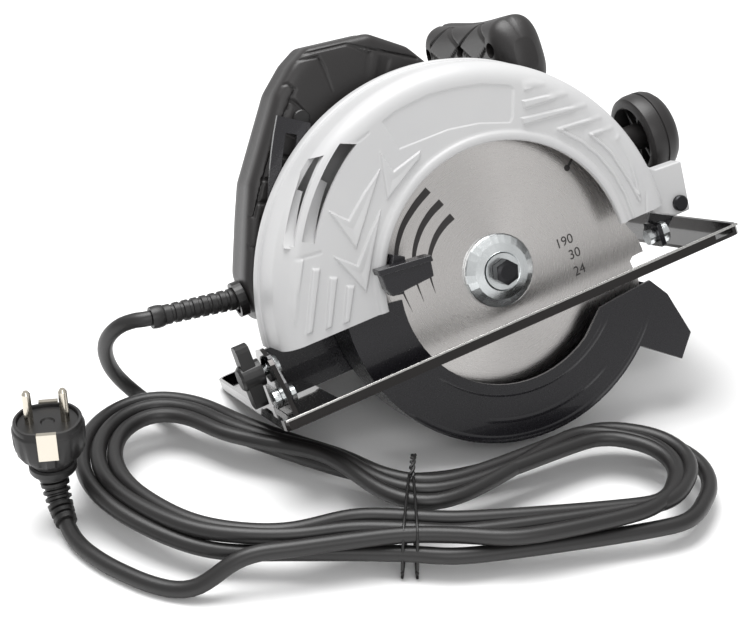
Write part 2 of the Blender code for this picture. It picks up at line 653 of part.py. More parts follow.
def make_top_grip(plastic, saw):
    """The bar across the top, in a rear and a front half."""
    def section(half_x, half_z, y):
        points = []
        for angle in np.radians(np.arange(0, 360, 15)):
            c, s = math.cos(angle), math.sin(angle)
            x = TOP_GRIP_X + half_x * math.copysign(abs(c) ** 0.75, c)
            z = TOP_GRIP_Z + half_z * math.copysign(abs(s) ** 0.75, s)
            points.append((x, y, z))
        return points

    low, high = TOP_GRIP_Y
    round_end = 14.0
    sections = [(low, 0.45), (low + 0.08 * round_end, 0.62), (low + 0.35 * round_end, 0.86), (low + round_end, 1.0),
                (high - round_end, 1.0), (high - 0.35 * round_end, 0.86), (high - 0.08 * round_end, 0.62),
                (high, 0.45)]
    for label, side, seam in (("rear", -1, TOP_GRIP_SEAM_X - GAP / 2), ("front", 1, TOP_GRIP_SEAM_X + GAP / 2)):
        rings = [section(TOP_GRIP_HALF_X * share, TOP_GRIP_HALF_Z * share, y) for y, share in sections]
        half = put(f"top_grip_{label}", draw_loft(rings), plastic, saw)
        beyond = sorted((seam, seam - side * 100))
        cut(half, draw_prism(box_outline(*beyond, 0, 250), low - 20, high + 20))
        if label == "rear":
            for y in GRIP_SCREW_Y:
                cut(half, draw_turned(disc_profile(4.3, 20, TOP_GRIP_SEAM_X - 9), (y, TOP_GRIP_Z + 8), "X", 20))


def make_front_knob(plastic, saw):
    """The mushroom knob, hollow at the back, on the case's front arm."""
    start, end = KNOB_X
    profile = [(0, start), (10.0, start), (8.0, start + 6), (8.0, end - 14), (KNOB_R - 4, end - 14),
               (KNOB_R - 3, start + 16), (KNOB_R - 1, start + 15), (KNOB_R, start + 18), (KNOB_R, end - 14),
               (KNOB_R - 2, end - 7), (KNOB_R - 7, end - 2.5), (KNOB_R - 14, end - 0.5), (0, end)]
    turned("front_knob", profile, ((ARM_Y[0] + ARM_Y[1]) / 2, KNOB_Z), plastic, saw, "X", 36)


# ---------------------------------------------------------------- base plate and brackets

def lock_centre():
    """Where the depth clamp passes through the slotted strap."""
    turn = math.radians(LOCK_ANGLE)
    return (DEPTH_X + STRAP_R * math.cos(turn), DEPTH_Z + STRAP_R * math.sin(turn))


def make_base(chrome, saw):
    """The stamped base plate with its lips and slot, and the bevel quadrant."""
    low_x, high_x = BASE_X
    low_y, high_y = BASE_Y
    top = BASE_Z + BASE_T
    outline = rounded(box_outline(low_x, high_x, low_y, high_y), 6, 3)
    plate = prism("base_plate", outline, BASE_Z, LIP_TOP, chrome, saw, "XY")
    inside = rounded(box_outline(low_x + BASE_T, high_x - BASE_T, low_y + BASE_T, high_y - BASE_T), 4, 3)
    cut(plate, draw_prism(inside, top, 0, "XY"))
    slot = rounded(box_outline(*SLOT_X, *SLOT_Y), 3, 2)
    cut(plate, draw_prism(slot, -60, 0, "XY"))
    cut(plate, draw_prism(box_outline(125, 137, -40, -20), top + 0.2, 0, "XY"))

    outline = rounded([(-22.6, top + GAP), (26, top + GAP), (26, -4), (18, 8), (6, 10), (-6, 4), (-17, -14)], 2, 2)
    quadrant = prism("rear_quadrant", outline, QUADRANT_X - SHEET_T, QUADRANT_X, chrome, saw, "YZ")
    reach = math.hypot(KNOB_BOLT_Y - BEVEL_Y, KNOB_BOLT_Z - BEVEL_Z)
    start = math.degrees(math.atan2(KNOB_BOLT_Z - BEVEL_Z, KNOB_BOLT_Y - BEVEL_Y)) - 10
    groove = circle(BEVEL_Y, BEVEL_Z, reach + 3.4, 10, start, start + 65)
    groove += circle(BEVEL_Y, BEVEL_Z, reach - 3.4, 10, start + 65, start)
    cut(quadrant, draw_prism(groove, QUADRANT_X - 9, QUADRANT_X + 9, "YZ"))
    cut(quadrant, draw_turned(disc_profile(3.0 + GAP, QUADRANT_X - 9, QUADRANT_X + 9), (BEVEL_Y, BEVEL_Z), "X", 20))


def make_brackets(black, zinc, bolt_black, saw):
    """The pieces that swing with the depth setting, and their bolts."""
    ear_x = (QUADRANT_X + GAP, QUADRANT_X + GAP + SHEET_T)
    ear = rounded([(-9, -22.5), (-5.0, -25.7), (24, -25.7), (24, 5), (8, 5), (-9, -12)], 3, 2)
    rear = prism("rear_bracket", ear, *ear_x, black, saw, "YZ")
    wall = [(ear_x[0] + 0.5, -26.0), (-76, -26.0), (-76, -8), (-96, 5), (ear_x[0] + 0.5, 5)]
    add(rear, draw_prism(wall, 21.3, 24.0))
    strap = circle(DEPTH_X, DEPTH_Z, STRAP_R + STRAP_HALF, 16, 183.5, 148)
    strap += circle(DEPTH_X, DEPTH_Z, STRAP_R - STRAP_HALF, 16, 148, 183.5)
    add(rear, draw_prism(strap, 23.8, STRAP_Y[1]))
    cut(rear, draw_prism([(-200, 5.2), (0, 5.2), (0, 200), (-200, 200)], 15, STRAP_Y[0]))
    groove = circle(DEPTH_X, DEPTH_Z, STRAP_R + STRAP_SLOT_HALF, 16, 176.5, 150)
    groove += circle(DEPTH_X, DEPTH_Z, STRAP_R - STRAP_SLOT_HALF, 16, 150, 176.5)
    cut(rear, draw_prism(groove, 15, 40))
    for y, z in ((BEVEL_Y, BEVEL_Z), (KNOB_BOLT_Y, KNOB_BOLT_Z)):
        cut(rear, draw_turned(disc_profile(3.0 + GAP, -150, -130), (y, z), "X", 20))

    arm = rounded([(DEPTH_X - 7, DEPTH_Z + 7), (DEPTH_X + 7, DEPTH_Z + 7), (DEPTH_X + 7, DEPTH_Z - 4), (108, -25),
                   (100, -25), (100, -16)], 2.5, 2)
    front = prism("front_bracket", arm, 6.2, 8.7, black, saw)
    tab = rounded([(-8, -25), (8.0, -25), (8.0, -11), (-8, -11)], 1, 2)
    add(front, draw_prism(tab, 101.5, 104.5, "YZ"))
    cut(front, draw_turned(disc_profile(3.0 + GAP, 90, 115), (BEVEL_Y, BEVEL_Z), "X", 20))
    cut(front, draw_turned(disc_profile(2.5 + GAP, 0, 20), (DEPTH_X, DEPTH_Z), steps=20))

    turned("depth_pivot_screw", [(0, -9.2), (4.0, -9.2), (4.75, -8.4), (4.75, -6.3), (2.5, -6.3), (2.5, 11.0), (0, 11.0)],
           (DEPTH_X, DEPTH_Z), bolt_black, saw, steps=24)
    turned("front_bevel_pin", [(0, 96.5), (4.5, 96.5), (4.5, 101.2), (3.0, 101.2), (3.0, 104.8), (6.5, 104.8),
                               (6.5, 109.0), (0, 109.0)], (BEVEL_Y, BEVEL_Z), zinc, saw, "X", 24)
    pin_back = QUADRANT_X - SHEET_T - GAP
    turned("rear_bevel_pin", [(0, pin_back - 3.5), (5.5, pin_back - 3.5), (5.5, pin_back), (3.0, pin_back),
                              (3.0, ear_x[1] + GAP), (5.0, ear_x[1] + GAP), (5.0, ear_x[1] + 3.5), (0, ear_x[1] + 3.5)],
           (BEVEL_Y, BEVEL_Z), zinc, saw, "X", 24)
    turned("bevel_clamp_bolt", [(0, -155.0), (3.0, -155.0), (3.0, ear_x[1] + GAP), (6.0, ear_x[1] + GAP),
                                (6.0, ear_x[1] + 3.5), (0, ear_x[1] + 3.5)],
           (KNOB_BOLT_Y, KNOB_BOLT_Z), zinc, saw, "X", 24)
    clamp = lock_centre()
    turned("depth_clamp_bolt", [(0, 16.5), (6.5, 16.5), (6.5, 20.2), (3.0, 20.2), (3.0, 36.4), (0, 36.4)],
           clamp, zinc, saw, steps=24)


def make_clamp_controls(plastic, saw):
    """The bevel wing knob and the depth clamp lever."""
    front = QUADRANT_X - SHEET_T - GAP - 1.2
    knob = turned("bevel_wing_knob", [(0, -161.0), (6.0, -161.0), (7.5, -159.5), (8.0, front), (0, front)],
                  (KNOB_BOLT_Y, KNOB_BOLT_Z), plastic, saw, "X", 28)
    wing = rounded([(-6, 0), (-5, 18), (5, 19), (6, 0), (5, -18), (-5, -19)], 3, 2)
    wing = [(KNOB_BOLT_Y + u, KNOB_BOLT_Z + v) for u, v in wing]
    add(knob, draw_prism(wing, -158.5, front - 3.0, "YZ"))
    cut(knob, draw_turned(disc_profile(3.0 + GAP, -156, front + 9), (KNOB_BOLT_Y, KNOB_BOLT_Z), "X", 20))

    clamp = lock_centre()
    hub_y = (STRAP_Y[1] + GAP + 0.2, 36.4)
    lever = turned("depth_clamp_lever", disc_profile(8.0, *hub_y, 0.6), clamp, plastic, saw, steps=28)
    blade = [(clamp[0] - 6, clamp[1]), (clamp[0] + 6, clamp[1]), (clamp[0] + 3, clamp[1] - 40),
             (clamp[0] - 5, clamp[1] - 40)]
    add(lever, draw_prism(rounded(blade, 2.5, 2), hub_y[0] + 2, hub_y[0] + 7))
    cut(lever, draw_turned(disc_profile(3.0 + GAP, 0, 50), clamp, steps=20))


# ---------------------------------------------------------------- cord and plug



def sleeve_frame():
    """The strain relief's start and direction, level when the saw rests."""
    roll = math.radians(REST_ROLL)
    pitch = math.radians(REST_PITCH)
    direction = Vector((-math.cos(pitch), -math.sin(pitch) * math.sin(roll), -math.sin(pitch) * math.cos(roll)))
    start = Vector((HANDLE_BACK_X - 1.8, HANDLE_Y, CORD_EXIT_Z))
    return start, direction


def make_strain_relief(rubber, saw):
    """The clamp ring on the handle and the tapered sleeve in it."""
    turned("cord_clamp_ring", ring_profile(10.5, 8.2, HANDLE_BACK_X - GAP, HANDLE_BACK_X - 5.5),
           (HANDLE_Y, CORD_EXIT_Z), rubber, saw, "X", 28)
    start, direction = sleeve_frame()
    side = direction.cross(Vector((0, 0, 1))).normalized()
    up = side.cross(direction)
    rings = []
    for along, radius in ((0, 6.5), (SLEEVE_LENGTH - 8, 5.6), (SLEEVE_LENGTH - 7, 6.75), (SLEEVE_LENGTH - 2, 6.75),
                          (SLEEVE_LENGTH, 5.8)):
        centre = start + direction * along
        rings.append([centre + side * (radius * math.cos(a)) + up * (radius * math.sin(a))
                      for a in np.radians(np.arange(0, 360, 15))])
    put("strain_relief", draw_loft(rings), rubber, saw)


# The bundle's outline on the bench, and the routes of the two free stretches
HANK_OUTLINE = [(-208, 80), (-168, 76), (-151, 34), (-138, 12), (-97, -40), (-66, -58), (-20, -58), (30, -58), (58, -72),
                (76, -96), (76, -124), (56, -148), (10, -160), (-50, -152), (-104, -136), (-160, -124),
                (-205, -101), (-202, -76), (-236, -50), (-252, -22), (-254, 12), (-244, 48), (-228, 72)]
LEAD_ROUTE = [(-201, 66.5, 81.5), (-209, 74, 73), (-212, 84, 60), (-210, 93, 45), (-205, 99, 30), (-197, 101, 17),
              (-190, 97, 9.0), (-185.5, 88, 6.4), (-184.5, 78.6, 6.3)]
TAIL_ROUTE = [(-205.2, -88.2, 6.2), (-222, -85.6, 4.8), (-240, -70, 4.7), (-255, -45, 4.7), (-263, -24, 4.8),
              (-265.1, -12, 5.6), (-265.1, -2.0, 8.9)]
TIE_PLACE = (-100, -90)
TIE_TURN = -27.0
PLUG_PLACE = (-264.5, 15.0)
PLUG_PIN_TURN = -17.0


def make_cord(rubber, plug_rubber, nickel, tie_black, bench, exit_point):
    """The bundled lead from the strain relief to the plug."""
    # Clear of the sleeve's end while the saw tilts over its base
    start = exit_point + Vector((-2.2, 0, 0))
    ahead = exit_point + Vector((-5, 0, 0))
    tube("cord_lead", [tuple(start), tuple(ahead)] + LEAD_ROUTE, CORD_D, rubber, bench)
    tube("cord_tail", TAIL_ROUTE, CORD_D, rubber, bench)
    hank = prism("cord_hank", rounded(HANK_OUTLINE, 14, 2), *HANK_Z, rubber, bench, "XY")
    for side in (-1, 1):
        notch = [turned_place(TIE_PLACE, TIE_TURN, u, v)
                 for u, v in box_outline(-5, 5, *sorted((side * TIE_HALF_WIDTH, side * 90)))]
        cut(hank, draw_prism(notch, -5, 60, "XY"))
    make_tie(tie_black, bench)

    plug = turned("plug_body", [(0, 33), (11, 33), (13, 38), (19, 45), (19.4, 60), (18.4, 62), (0, 62)],
                  PLUG_PLACE, plug_rubber, bench, "Z", 36)
    neck = (((15.0, 40.0), 90, 9.5, 9.0), ((13.0, 28.0), 72, 9.0, 8.5), ((7.0, 16.0), 50, 8.0, 7.5),
            ((-1.0, 9.2), 20, 7.4, 6.6))
    rings = []
    for (y, z), fall, half_x, half_n in neck:
        across = (math.sin(math.radians(fall)), -math.cos(math.radians(fall)))
        rings.append([(PLUG_PLACE[0] - 0.6 + half_x * math.cos(a), y + half_n * across[0] * math.sin(a),
                       z + half_n * across[1] * math.sin(a)) for a in np.radians(np.arange(0, 360, 22.5))])
    add(plug, draw_loft(rings))
    turn = math.radians(PLUG_PIN_TURN)
    for label, side in (("left", -1), ("right", 1)):
        place = (PLUG_PLACE[0] + side * 9.5 * math.cos(turn), PLUG_PLACE[1] + side * 9.5 * math.sin(turn))
        turned(f"plug_pin_{label}", [(0, 52), (2.4, 52), (2.4, 79.4), (1.4, 81), (0, 81)], place, nickel, bench, "Z", 20)
        cut(plug, draw_turned([(0, 51.7), (2.7, 51.7), (2.7, 90), (0, 90)], place, "Z", 20))


def turned_place(place, turn, u, v):
    """A point u along and v across a line turned by an angle on the bench."""
    angle = math.radians(turn)
    return (place[0] + u * math.cos(angle) - v * math.sin(angle),
            place[1] + u * math.sin(angle) + v * math.cos(angle))


def draw_band(half_width, low, high, half_length):
    """A block across the bundle where the tie goes."""
    corners = [turned_place(TIE_PLACE, TIE_TURN, u, v)
               for u, v in box_outline(-half_length, half_length, -half_width, half_width)]
    return draw_prism(corners, low, high, "XY")


def make_tie(material, bench):
    """A wire tie wrapped once round the bundle."""
    low, high = HANK_Z[0] - GAP, HANK_Z[1] + GAP
    band = draw_band(TIE_HALF_WIDTH + GAP + TIE_T, low - TIE_T, high + TIE_T, 2.5)
    tie = put("cord_tie", band, material, bench)
    cut(tie, draw_band(TIE_HALF_WIDTH + GAP, low, high, 9))


# ---------------------------------------------------------------- the whole saw

def settle(saw, bench):
    """Stand the leaning saw on the bench and centre it over the origin."""
    bpy.context.view_layer.update()
    graph = bpy.context.evaluated_depsgraph_get()
    corners = []
    for item in bpy.data.objects:
        if item.type == "MESH" and item.parent == saw and not item.hide_render:
            solid = item.evaluated_get(graph)
            corners += [solid.matrix_world @ vert.co for vert in solid.data.vertices]
    places = np.array(corners)
    low = places.min(axis=0)
    high = places.max(axis=0)
    shift = Vector((-(low[0] + high[0]) / 2, -(low[1] + high[1]) / 2, -low[2]))
    saw.location = shift
    bench.location = (shift.x, shift.y, 0)


def main():
    """Build every piece of the saw and its cord."""
    clear_scene()
    casting = finish("painted_casting", (0.60, 0.62, 0.62), 0.35)
    plastic = finish("black_nylon", (0.035, 0.034, 0.033), 0.45)
    dark = finish("black_trim", (0.02, 0.02, 0.02), 0.5)
    steel = finish("bright_steel", (0.55, 0.55, 0.54), 0.3, 1.0)
    blade_steel = finish("blade_steel", (0.58, 0.56, 0.54), 0.35, 1.0)
    zinc = finish("zinc_plate", (0.65, 0.67, 0.67), 0.3, 1.0)
    bolt_black = finish("black_oxide", (0.03, 0.03, 0.03), 0.4, 1.0)
    chrome = finish("dark_chrome", (0.16, 0.155, 0.15), 0.25, 1.0)
    shield_black = finish("shield_black", (0.045, 0.044, 0.05), 0.35, 0.3)
    copper = finish("copper_winding", (0.5, 0.18, 0.08), 0.4, 1.0)
    carbon = finish("carbon", (0.03, 0.03, 0.03), 0.7)
    rubber = finish("cord_rubber", (0.03, 0.029, 0.03), 0.5)
    nickel = finish("nickel_pin", (0.7, 0.66, 0.6), 0.2, 1.0)

    saw = empty("saw_attitude")
    saw.rotation_euler = (math.radians(REST_ROLL), math.radians(REST_PITCH), 0)
    bench = empty("bench")

    make_blade(blade_steel, saw)
    make_spindle(steel, zinc, bolt_black, saw)
    make_upper_guard(casting, saw)
    make_lower_guard(shield_black, shield_black, steel, saw)
    make_gear_case(casting, saw)
    make_motor(plastic, steel, copper, carbon, dark, saw)
    make_handle(plastic, dark, dark, saw)
    make_top_grip(plastic, saw)
    make_front_knob(plastic, saw)
    make_base(chrome, saw)
    make_brackets(shield_black, zinc, bolt_black, saw)
    make_clamp_controls(dark, saw)
    make_strain_relief(rubber, saw)
    settle(saw, bench)

    bpy.context.view_layer.update()
    start, direction = sleeve_frame()
    sleeve_end = saw.matrix_world @ ((start + direction * (SLEEVE_LENGTH + GAP)) * MM)
    exit_point = (sleeve_end - bench.location) / MM
    make_cord(rubber, rubber, nickel, dark, bench, exit_point)


if __name__ == "__main__":
    main()
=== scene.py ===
"""Looks of a corded hand-held circular saw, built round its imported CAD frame.

Each sub-assembly is a class that holds its sizes, builds its surfaces with numpy
and dresses them. Sizes are in millimetres in the saw's own frame (x is the
cutting direction, y runs along the spindle to the motor, z is up from the base
plate, origin at the blade's centre) or, for the cord, in the bench frame below
that centre. SawFrame turns both into the row frame, in metres.
"""

import json
import logging
import math
from dataclasses import dataclass, field
from enum import Enum

import bmesh
import bpy
import numpy as np
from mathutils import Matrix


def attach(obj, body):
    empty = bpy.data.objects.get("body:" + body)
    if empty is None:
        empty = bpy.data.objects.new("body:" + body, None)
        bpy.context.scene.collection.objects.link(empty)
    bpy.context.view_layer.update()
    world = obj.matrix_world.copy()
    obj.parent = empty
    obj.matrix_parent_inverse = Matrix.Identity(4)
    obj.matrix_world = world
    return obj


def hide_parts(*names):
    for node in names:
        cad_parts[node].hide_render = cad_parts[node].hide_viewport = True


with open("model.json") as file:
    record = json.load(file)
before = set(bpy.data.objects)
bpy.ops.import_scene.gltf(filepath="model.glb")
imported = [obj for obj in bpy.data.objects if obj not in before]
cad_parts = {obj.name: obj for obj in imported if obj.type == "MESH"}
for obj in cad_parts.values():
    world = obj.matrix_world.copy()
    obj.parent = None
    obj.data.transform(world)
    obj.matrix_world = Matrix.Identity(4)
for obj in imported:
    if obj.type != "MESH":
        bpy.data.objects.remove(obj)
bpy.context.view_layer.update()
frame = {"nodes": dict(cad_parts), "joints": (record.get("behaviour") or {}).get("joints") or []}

MM = 0.001
TAU = 2 * math.pi
log = logging.getLogger("saw")


# ---------------------------------------------------------------- frames and small geometry

class SawFrame:
    """The saw's own axes and the bench's, found from the record's joints."""

    def __init__(self, joints: list) -> None:
        """Reads the spindle's and the bevel's axes.

        Args:
            joints: the record's joints.
        """
        by_name = {joint["name"]: joint for joint in joints}
        y_axis = np.array(by_name["spindle_spin"]["axis"], float)
        x_axis = np.array(by_name["bevel_tilt"]["axis"], float)
        z_axis = np.cross(x_axis, y_axis)
        self.axes = np.stack([x_axis, y_axis, z_axis])
        self.origin = np.array(by_name["spindle_spin"]["pos_m"], float)
        self.bench_origin = np.array([self.origin[0], self.origin[1], 0.0])
        self.lever_axis = self.to_saw(by_name["depth_lever_turn"]["pos_m"])

    def saw(self, points: np.ndarray) -> np.ndarray:
        """Saw millimetres to row metres."""
        return np.asarray(points, float) * MM @ self.axes + self.origin

    def bench(self, points: np.ndarray) -> np.ndarray:
        """Bench millimetres to row metres."""
        return np.asarray(points, float) * MM + self.bench_origin

    def to_saw(self, point: list) -> np.ndarray:
        """Row metres to saw millimetres."""
        return self.axes @ (np.asarray(point, float) - self.origin) / MM


SAW = SawFrame(frame["joints"])


def smoothstep(low: float, high: float, value: np.ndarray) -> np.ndarray:
    """0 below low, 1 above high, and a cubic ramp between them."""
    t = np.clip((value - low) / (high - low), 0.0, 1.0)
    return t * t * (3 - 2 * t)


def line_distance(x: np.ndarray, z: np.ndarray, points: list) -> np.ndarray:
    """Distance of each (x, z) from an open line through the points."""
    best = np.full(np.shape(x), 1e9)
    for (ax, az), (bx, bz) in zip(points[:-1], points[1:]):
        dx, dz = bx - ax, bz - az
        t = np.clip(((x - ax) * dx + (z - az) * dz) / (dx * dx + dz * dz), 0, 1)
        best = np.minimum(best, np.hypot(x - ax - t * dx, z - az - t * dz))
    return best


def inside_depth(x: np.ndarray, z: np.ndarray, polygon: list) -> np.ndarray:
    """Signed distance to a polygon's edge, positive inside it."""
    closed = list(polygon) + [polygon[0]]
    crossings = np.zeros(np.shape(x), int)
    for (ax, az), (bx, bz) in zip(closed[:-1], closed[1:]):
        spans = (az > z) != (bz > z)
        height = bz - az if bz != az else 1e-9
        crossings += spans & (x < (bx - ax) * (z - az) / height + ax)
    return np.where(crossings % 2 == 1, 1.0, -1.0) * line_distance(x, z, closed)


def spline(points: list, step: float) -> np.ndarray:
    """A smooth curve through the points, sampled evenly.

    The curve is a cubic between each pair of points, whose slope at a point is
    the one from the point before it to the point after it (Catmull and Rom's).

    Args:
        points: the points that the curve passes through.
        step: the distance between samples.

    Returns:
        An array of samples.
    """
    knots = np.asarray(points, float)
    padded = np.vstack([2 * knots[0] - knots[1], knots, 2 * knots[-1] - knots[-2]])
    t = np.linspace(0, 1, 24, endpoint=False)[:, None]
    pieces = []
    for a, b, c, d in zip(padded[:-3], padded[1:-2], padded[2:-1], padded[3:]):
        pieces.append(0.5 * (2 * b + (c - a) * t + (2 * a - 5 * b + 4 * c - d) * t ** 2
                             + (3 * b - a - 3 * c + d) * t ** 3))
    return resample(np.vstack(pieces + [knots[-1:]]), step)


def resample(line: np.ndarray, step: float) -> np.ndarray:
    """The same line with samples an even distance apart."""
    lengths = np.linalg.norm(np.diff(line, axis=0), axis=1)
    along = np.concatenate([[0], np.cumsum(lengths)])
    count = max(2, int(round(along[-1] / step)) + 1)
    places = np.linspace(0, along[-1], count)
    return np.stack([np.interp(places, along, line[:, k]) for k in range(line.shape[1])], axis=1)


def arc(centre: tuple, radius: float, start: float, end: float, count: int) -> list:
    """Points on an arc from one angle to another, in degrees."""
    angles = np.radians(np.linspace(start, end, count))
    return [(centre[0] + radius * math.cos(a), centre[1] + radius * math.sin(a)) for a in angles]


# ---------------------------------------------------------------- meshes

def mesh_object(name: str, points: np.ndarray, faces: list) -> bpy.types.Object:
    """Puts points, in row metres, and faces into a new smooth-shaded object."""
    mesh = bpy.data.meshes.new(name)
    mesh.from_pydata(np.asarray(points).reshape(-1, 3).tolist(), [], faces)
    mesh.update()
    made = bpy.data.objects.new(name, mesh)
    bpy.context.scene.collection.objects.link(made)
    build = bmesh.new()
    build.from_mesh(mesh)
    bmesh.ops.remove_doubles(build, verts=build.verts, dist=1e-6)
    bmesh.ops.dissolve_degenerate(build, edges=build.edges, dist=1e-7)
    bmesh.ops.recalc_face_normals(build, faces=build.faces)
    build.to_mesh(mesh)
    build.free()
    return made


def grid_faces(rows: int, columns: int, wrap_rows: bool, wrap_columns: bool) -> list:
    """The quads between neighbours on a grid, as index lists."""
    r = np.arange(rows if wrap_rows else rows - 1)
    c = np.arange(columns if wrap_columns else columns - 1)
    i, j = np.meshgrid(r, c, indexing="ij")
    up, across = (i + 1) % rows, (j + 1) % columns
    quads = np.stack([i * columns + j, i * columns + across, up * columns + across, up * columns + j], axis=-1)
    return quads.reshape(-1, 4).tolist()


def surface(name: str, grid: np.ndarray, wrap_rows: bool = False, caps: bool = True) -> bpy.types.Object:
    """A closed skin over a grid whose columns run round it.

    Args:
        name: the object's name.
        grid: points in row metres, as rows by columns by 3.
        wrap_rows: whether the last row joins the first.
        caps: whether the first and last rows are closed with one face each.

    Returns:
        The new object.
    """
    rows, columns = grid.shape[:2]
    faces = grid_faces(rows, columns, wrap_rows, True)
    if caps and not wrap_rows:
        faces.append(list(range(columns)))
        faces.append([(rows - 1) * columns + k for k in range(columns)])
    return mesh_object(name, grid, faces)


def turned(name: str, profile: list, centre: tuple, steps: int = 64, axis: str = "Y") -> bpy.types.Object:
    """A solid of revolution: a closed (radius, along) profile turned about an axis of the saw.

    Args:
        name: the object's name.
        profile: (radius, along) pairs; ends on the axis close it.
        centre: the axis's place, (x, z) for axis Y or (y, z) for axis X.
        steps: samples round the axis.
        axis: Y for the spindle's direction or X for the cutting direction.
    """
    radius, along = np.array(profile, float).T
    angle = np.linspace(0, TAU, steps, endpoint=False)
    u = centre[0] + radius[:, None] * np.cos(angle)
    v = centre[1] + radius[:, None] * np.sin(angle)
    w = np.broadcast_to(along[:, None], u.shape)
    order = (u, w, v) if axis == "Y" else (w, u, v)
    return surface(name, SAW.saw(np.stack(order, axis=-1)), caps=False)


def prism(name: str, outline: list, low: float, high: float, plane: str = "XZ") -> bpy.types.Object:
    """A flat outline carried straight from low to high across its plane."""
    rings = []
    for level in (low, high):
        flat = np.array(outline, float)
        column = np.full(len(flat), level)
        order = {"XZ": (flat[:, 0], column, flat[:, 1]), "YZ": (column, flat[:, 0], flat[:, 1]),
                 "XY": (flat[:, 0], flat[:, 1], column)}[plane]
        rings.append(np.stack(order, axis=-1))
    return surface(name, SAW.saw(np.stack(rings)))


def sweep(name: str, path: np.ndarray, radii: np.ndarray, sides: int, up: tuple = (0, 0, 1),
          squash: float = 1.0) -> bpy.types.Object:
    """A round section of changing radius carried along a path in row metres."""
    forward = np.gradient(path, axis=0)
    forward /= np.linalg.norm(forward, axis=1)[:, None]
    side = np.cross(forward, np.array(up, float))
    side /= np.linalg.norm(side, axis=1)[:, None]
    over = np.cross(side, forward)
    angle = np.linspace(0, TAU, sides, endpoint=False)
    ring = (side[:, None, :] * np.cos(angle)[None, :, None]
            + over[:, None, :] * (squash * np.sin(angle))[None, :, None])
    return surface(name, path[:, None, :] + ring * radii[:, None, None])


def soften(piece: bpy.types.Object, width: float, segments: int = 3, angle: float = 30.0) -> bpy.types.Object:
    """Rounds a piece's edges by a width in millimetres."""
    bevel = piece.modifiers.new("edge_round", "BEVEL")
    bevel.width = width * MM
    bevel.segments = segments
    bevel.limit_method = "ANGLE"
    bevel.angle_limit = math.radians(angle)
    bevel.harden_normals = True
    return piece


def shade(piece: bpy.types.Object, angle: float = 40.0) -> bpy.types.Object:
    """Smooth shading with sharp edges above an angle in degrees."""
    for polygon in piece.data.polygons:
        polygon.use_smooth = True
    piece.data.set_sharp_from_angle(angle=math.radians(angle))
    return piece


def carve(piece: bpy.types.Object, cutter: bpy.types.Object) -> None:
    """Cuts one solid out of another and removes the cutter."""
    hole = piece.modifiers.new("cut", "BOOLEAN")
    hole.operation = "DIFFERENCE"
    hole.solver = "EXACT"
    hole.object = cutter
    bpy.context.view_layer.update()
    graph = bpy.context.evaluated_depsgraph_get()
    result = bpy.data.meshes.new_from_object(piece.evaluated_get(graph))
    piece.modifiers.remove(hole)
    piece.data = result
    bpy.data.objects.remove(cutter)


def join(name: str, pieces: list) -> bpy.types.Object:
    """One object that holds the meshes of several plain ones."""
    build = bmesh.new()
    for piece in pieces:
        build.from_mesh(piece.data)
        bpy.data.objects.remove(piece)
    mesh = bpy.data.meshes.new(name)
    build.to_mesh(mesh)
    build.free()
    made = bpy.data.objects.new(name, mesh)
    bpy.context.scene.collection.objects.link(made)
    return made


def seat(piece: bpy.types.Object, body: str, material: bpy.types.Material,
         stands_for: tuple = ()) -> bpy.types.Object:
    """Gives a new piece its body and finish, and hides the CAD nodes it stands for."""
    piece.data.materials.clear()
    piece.data.materials.append(material)
    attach(piece, body)
    for node in stands_for:
        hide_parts(node)
    log.info("%s rides on %s", piece.name, body)
    return piece


# ---------------------------------------------------------------- finishes

def linear(code: str) -> tuple:
    """An sRGB hex colour as linear red, green, blue and alpha."""
    channels = [int(code[k:k + 2], 16) / 255 for k in (1, 3, 5)]
    return tuple(c / 12.92 if c <= 0.04045 else ((c + 0.055) / 1.055) ** 2.4 for c in channels) + (1.0,)


def add_node(tree: bpy.types.NodeTree, kind: str, settings: dict, links: dict) -> bpy.types.Node:
    """Adds a node with its settings, values and links.

    Args:
        tree: the node tree.
        kind: the node's type name.
        settings: attribute names and values.
        links: socket names or numbers, each with a value or another node's output.

    Returns:
        The new node.
    """
    made = tree.nodes.new(kind)
    for name, value in settings.items():
        setattr(made, name, value)
    for socket, value in links.items():
        if isinstance(value, bpy.types.NodeSocket):
            tree.links.new(value, made.inputs[socket])
        else:
            made.inputs[socket].default_value = value
    return made


class Grain(Enum):
    """How the surface was made, which sets its fine relief."""

    PEEL = "sprayed paint"
    SPARK = "spark-eroded moulding"
    TURNED = "turned on a lathe"
    ROLLED = "rolled or drawn metal"


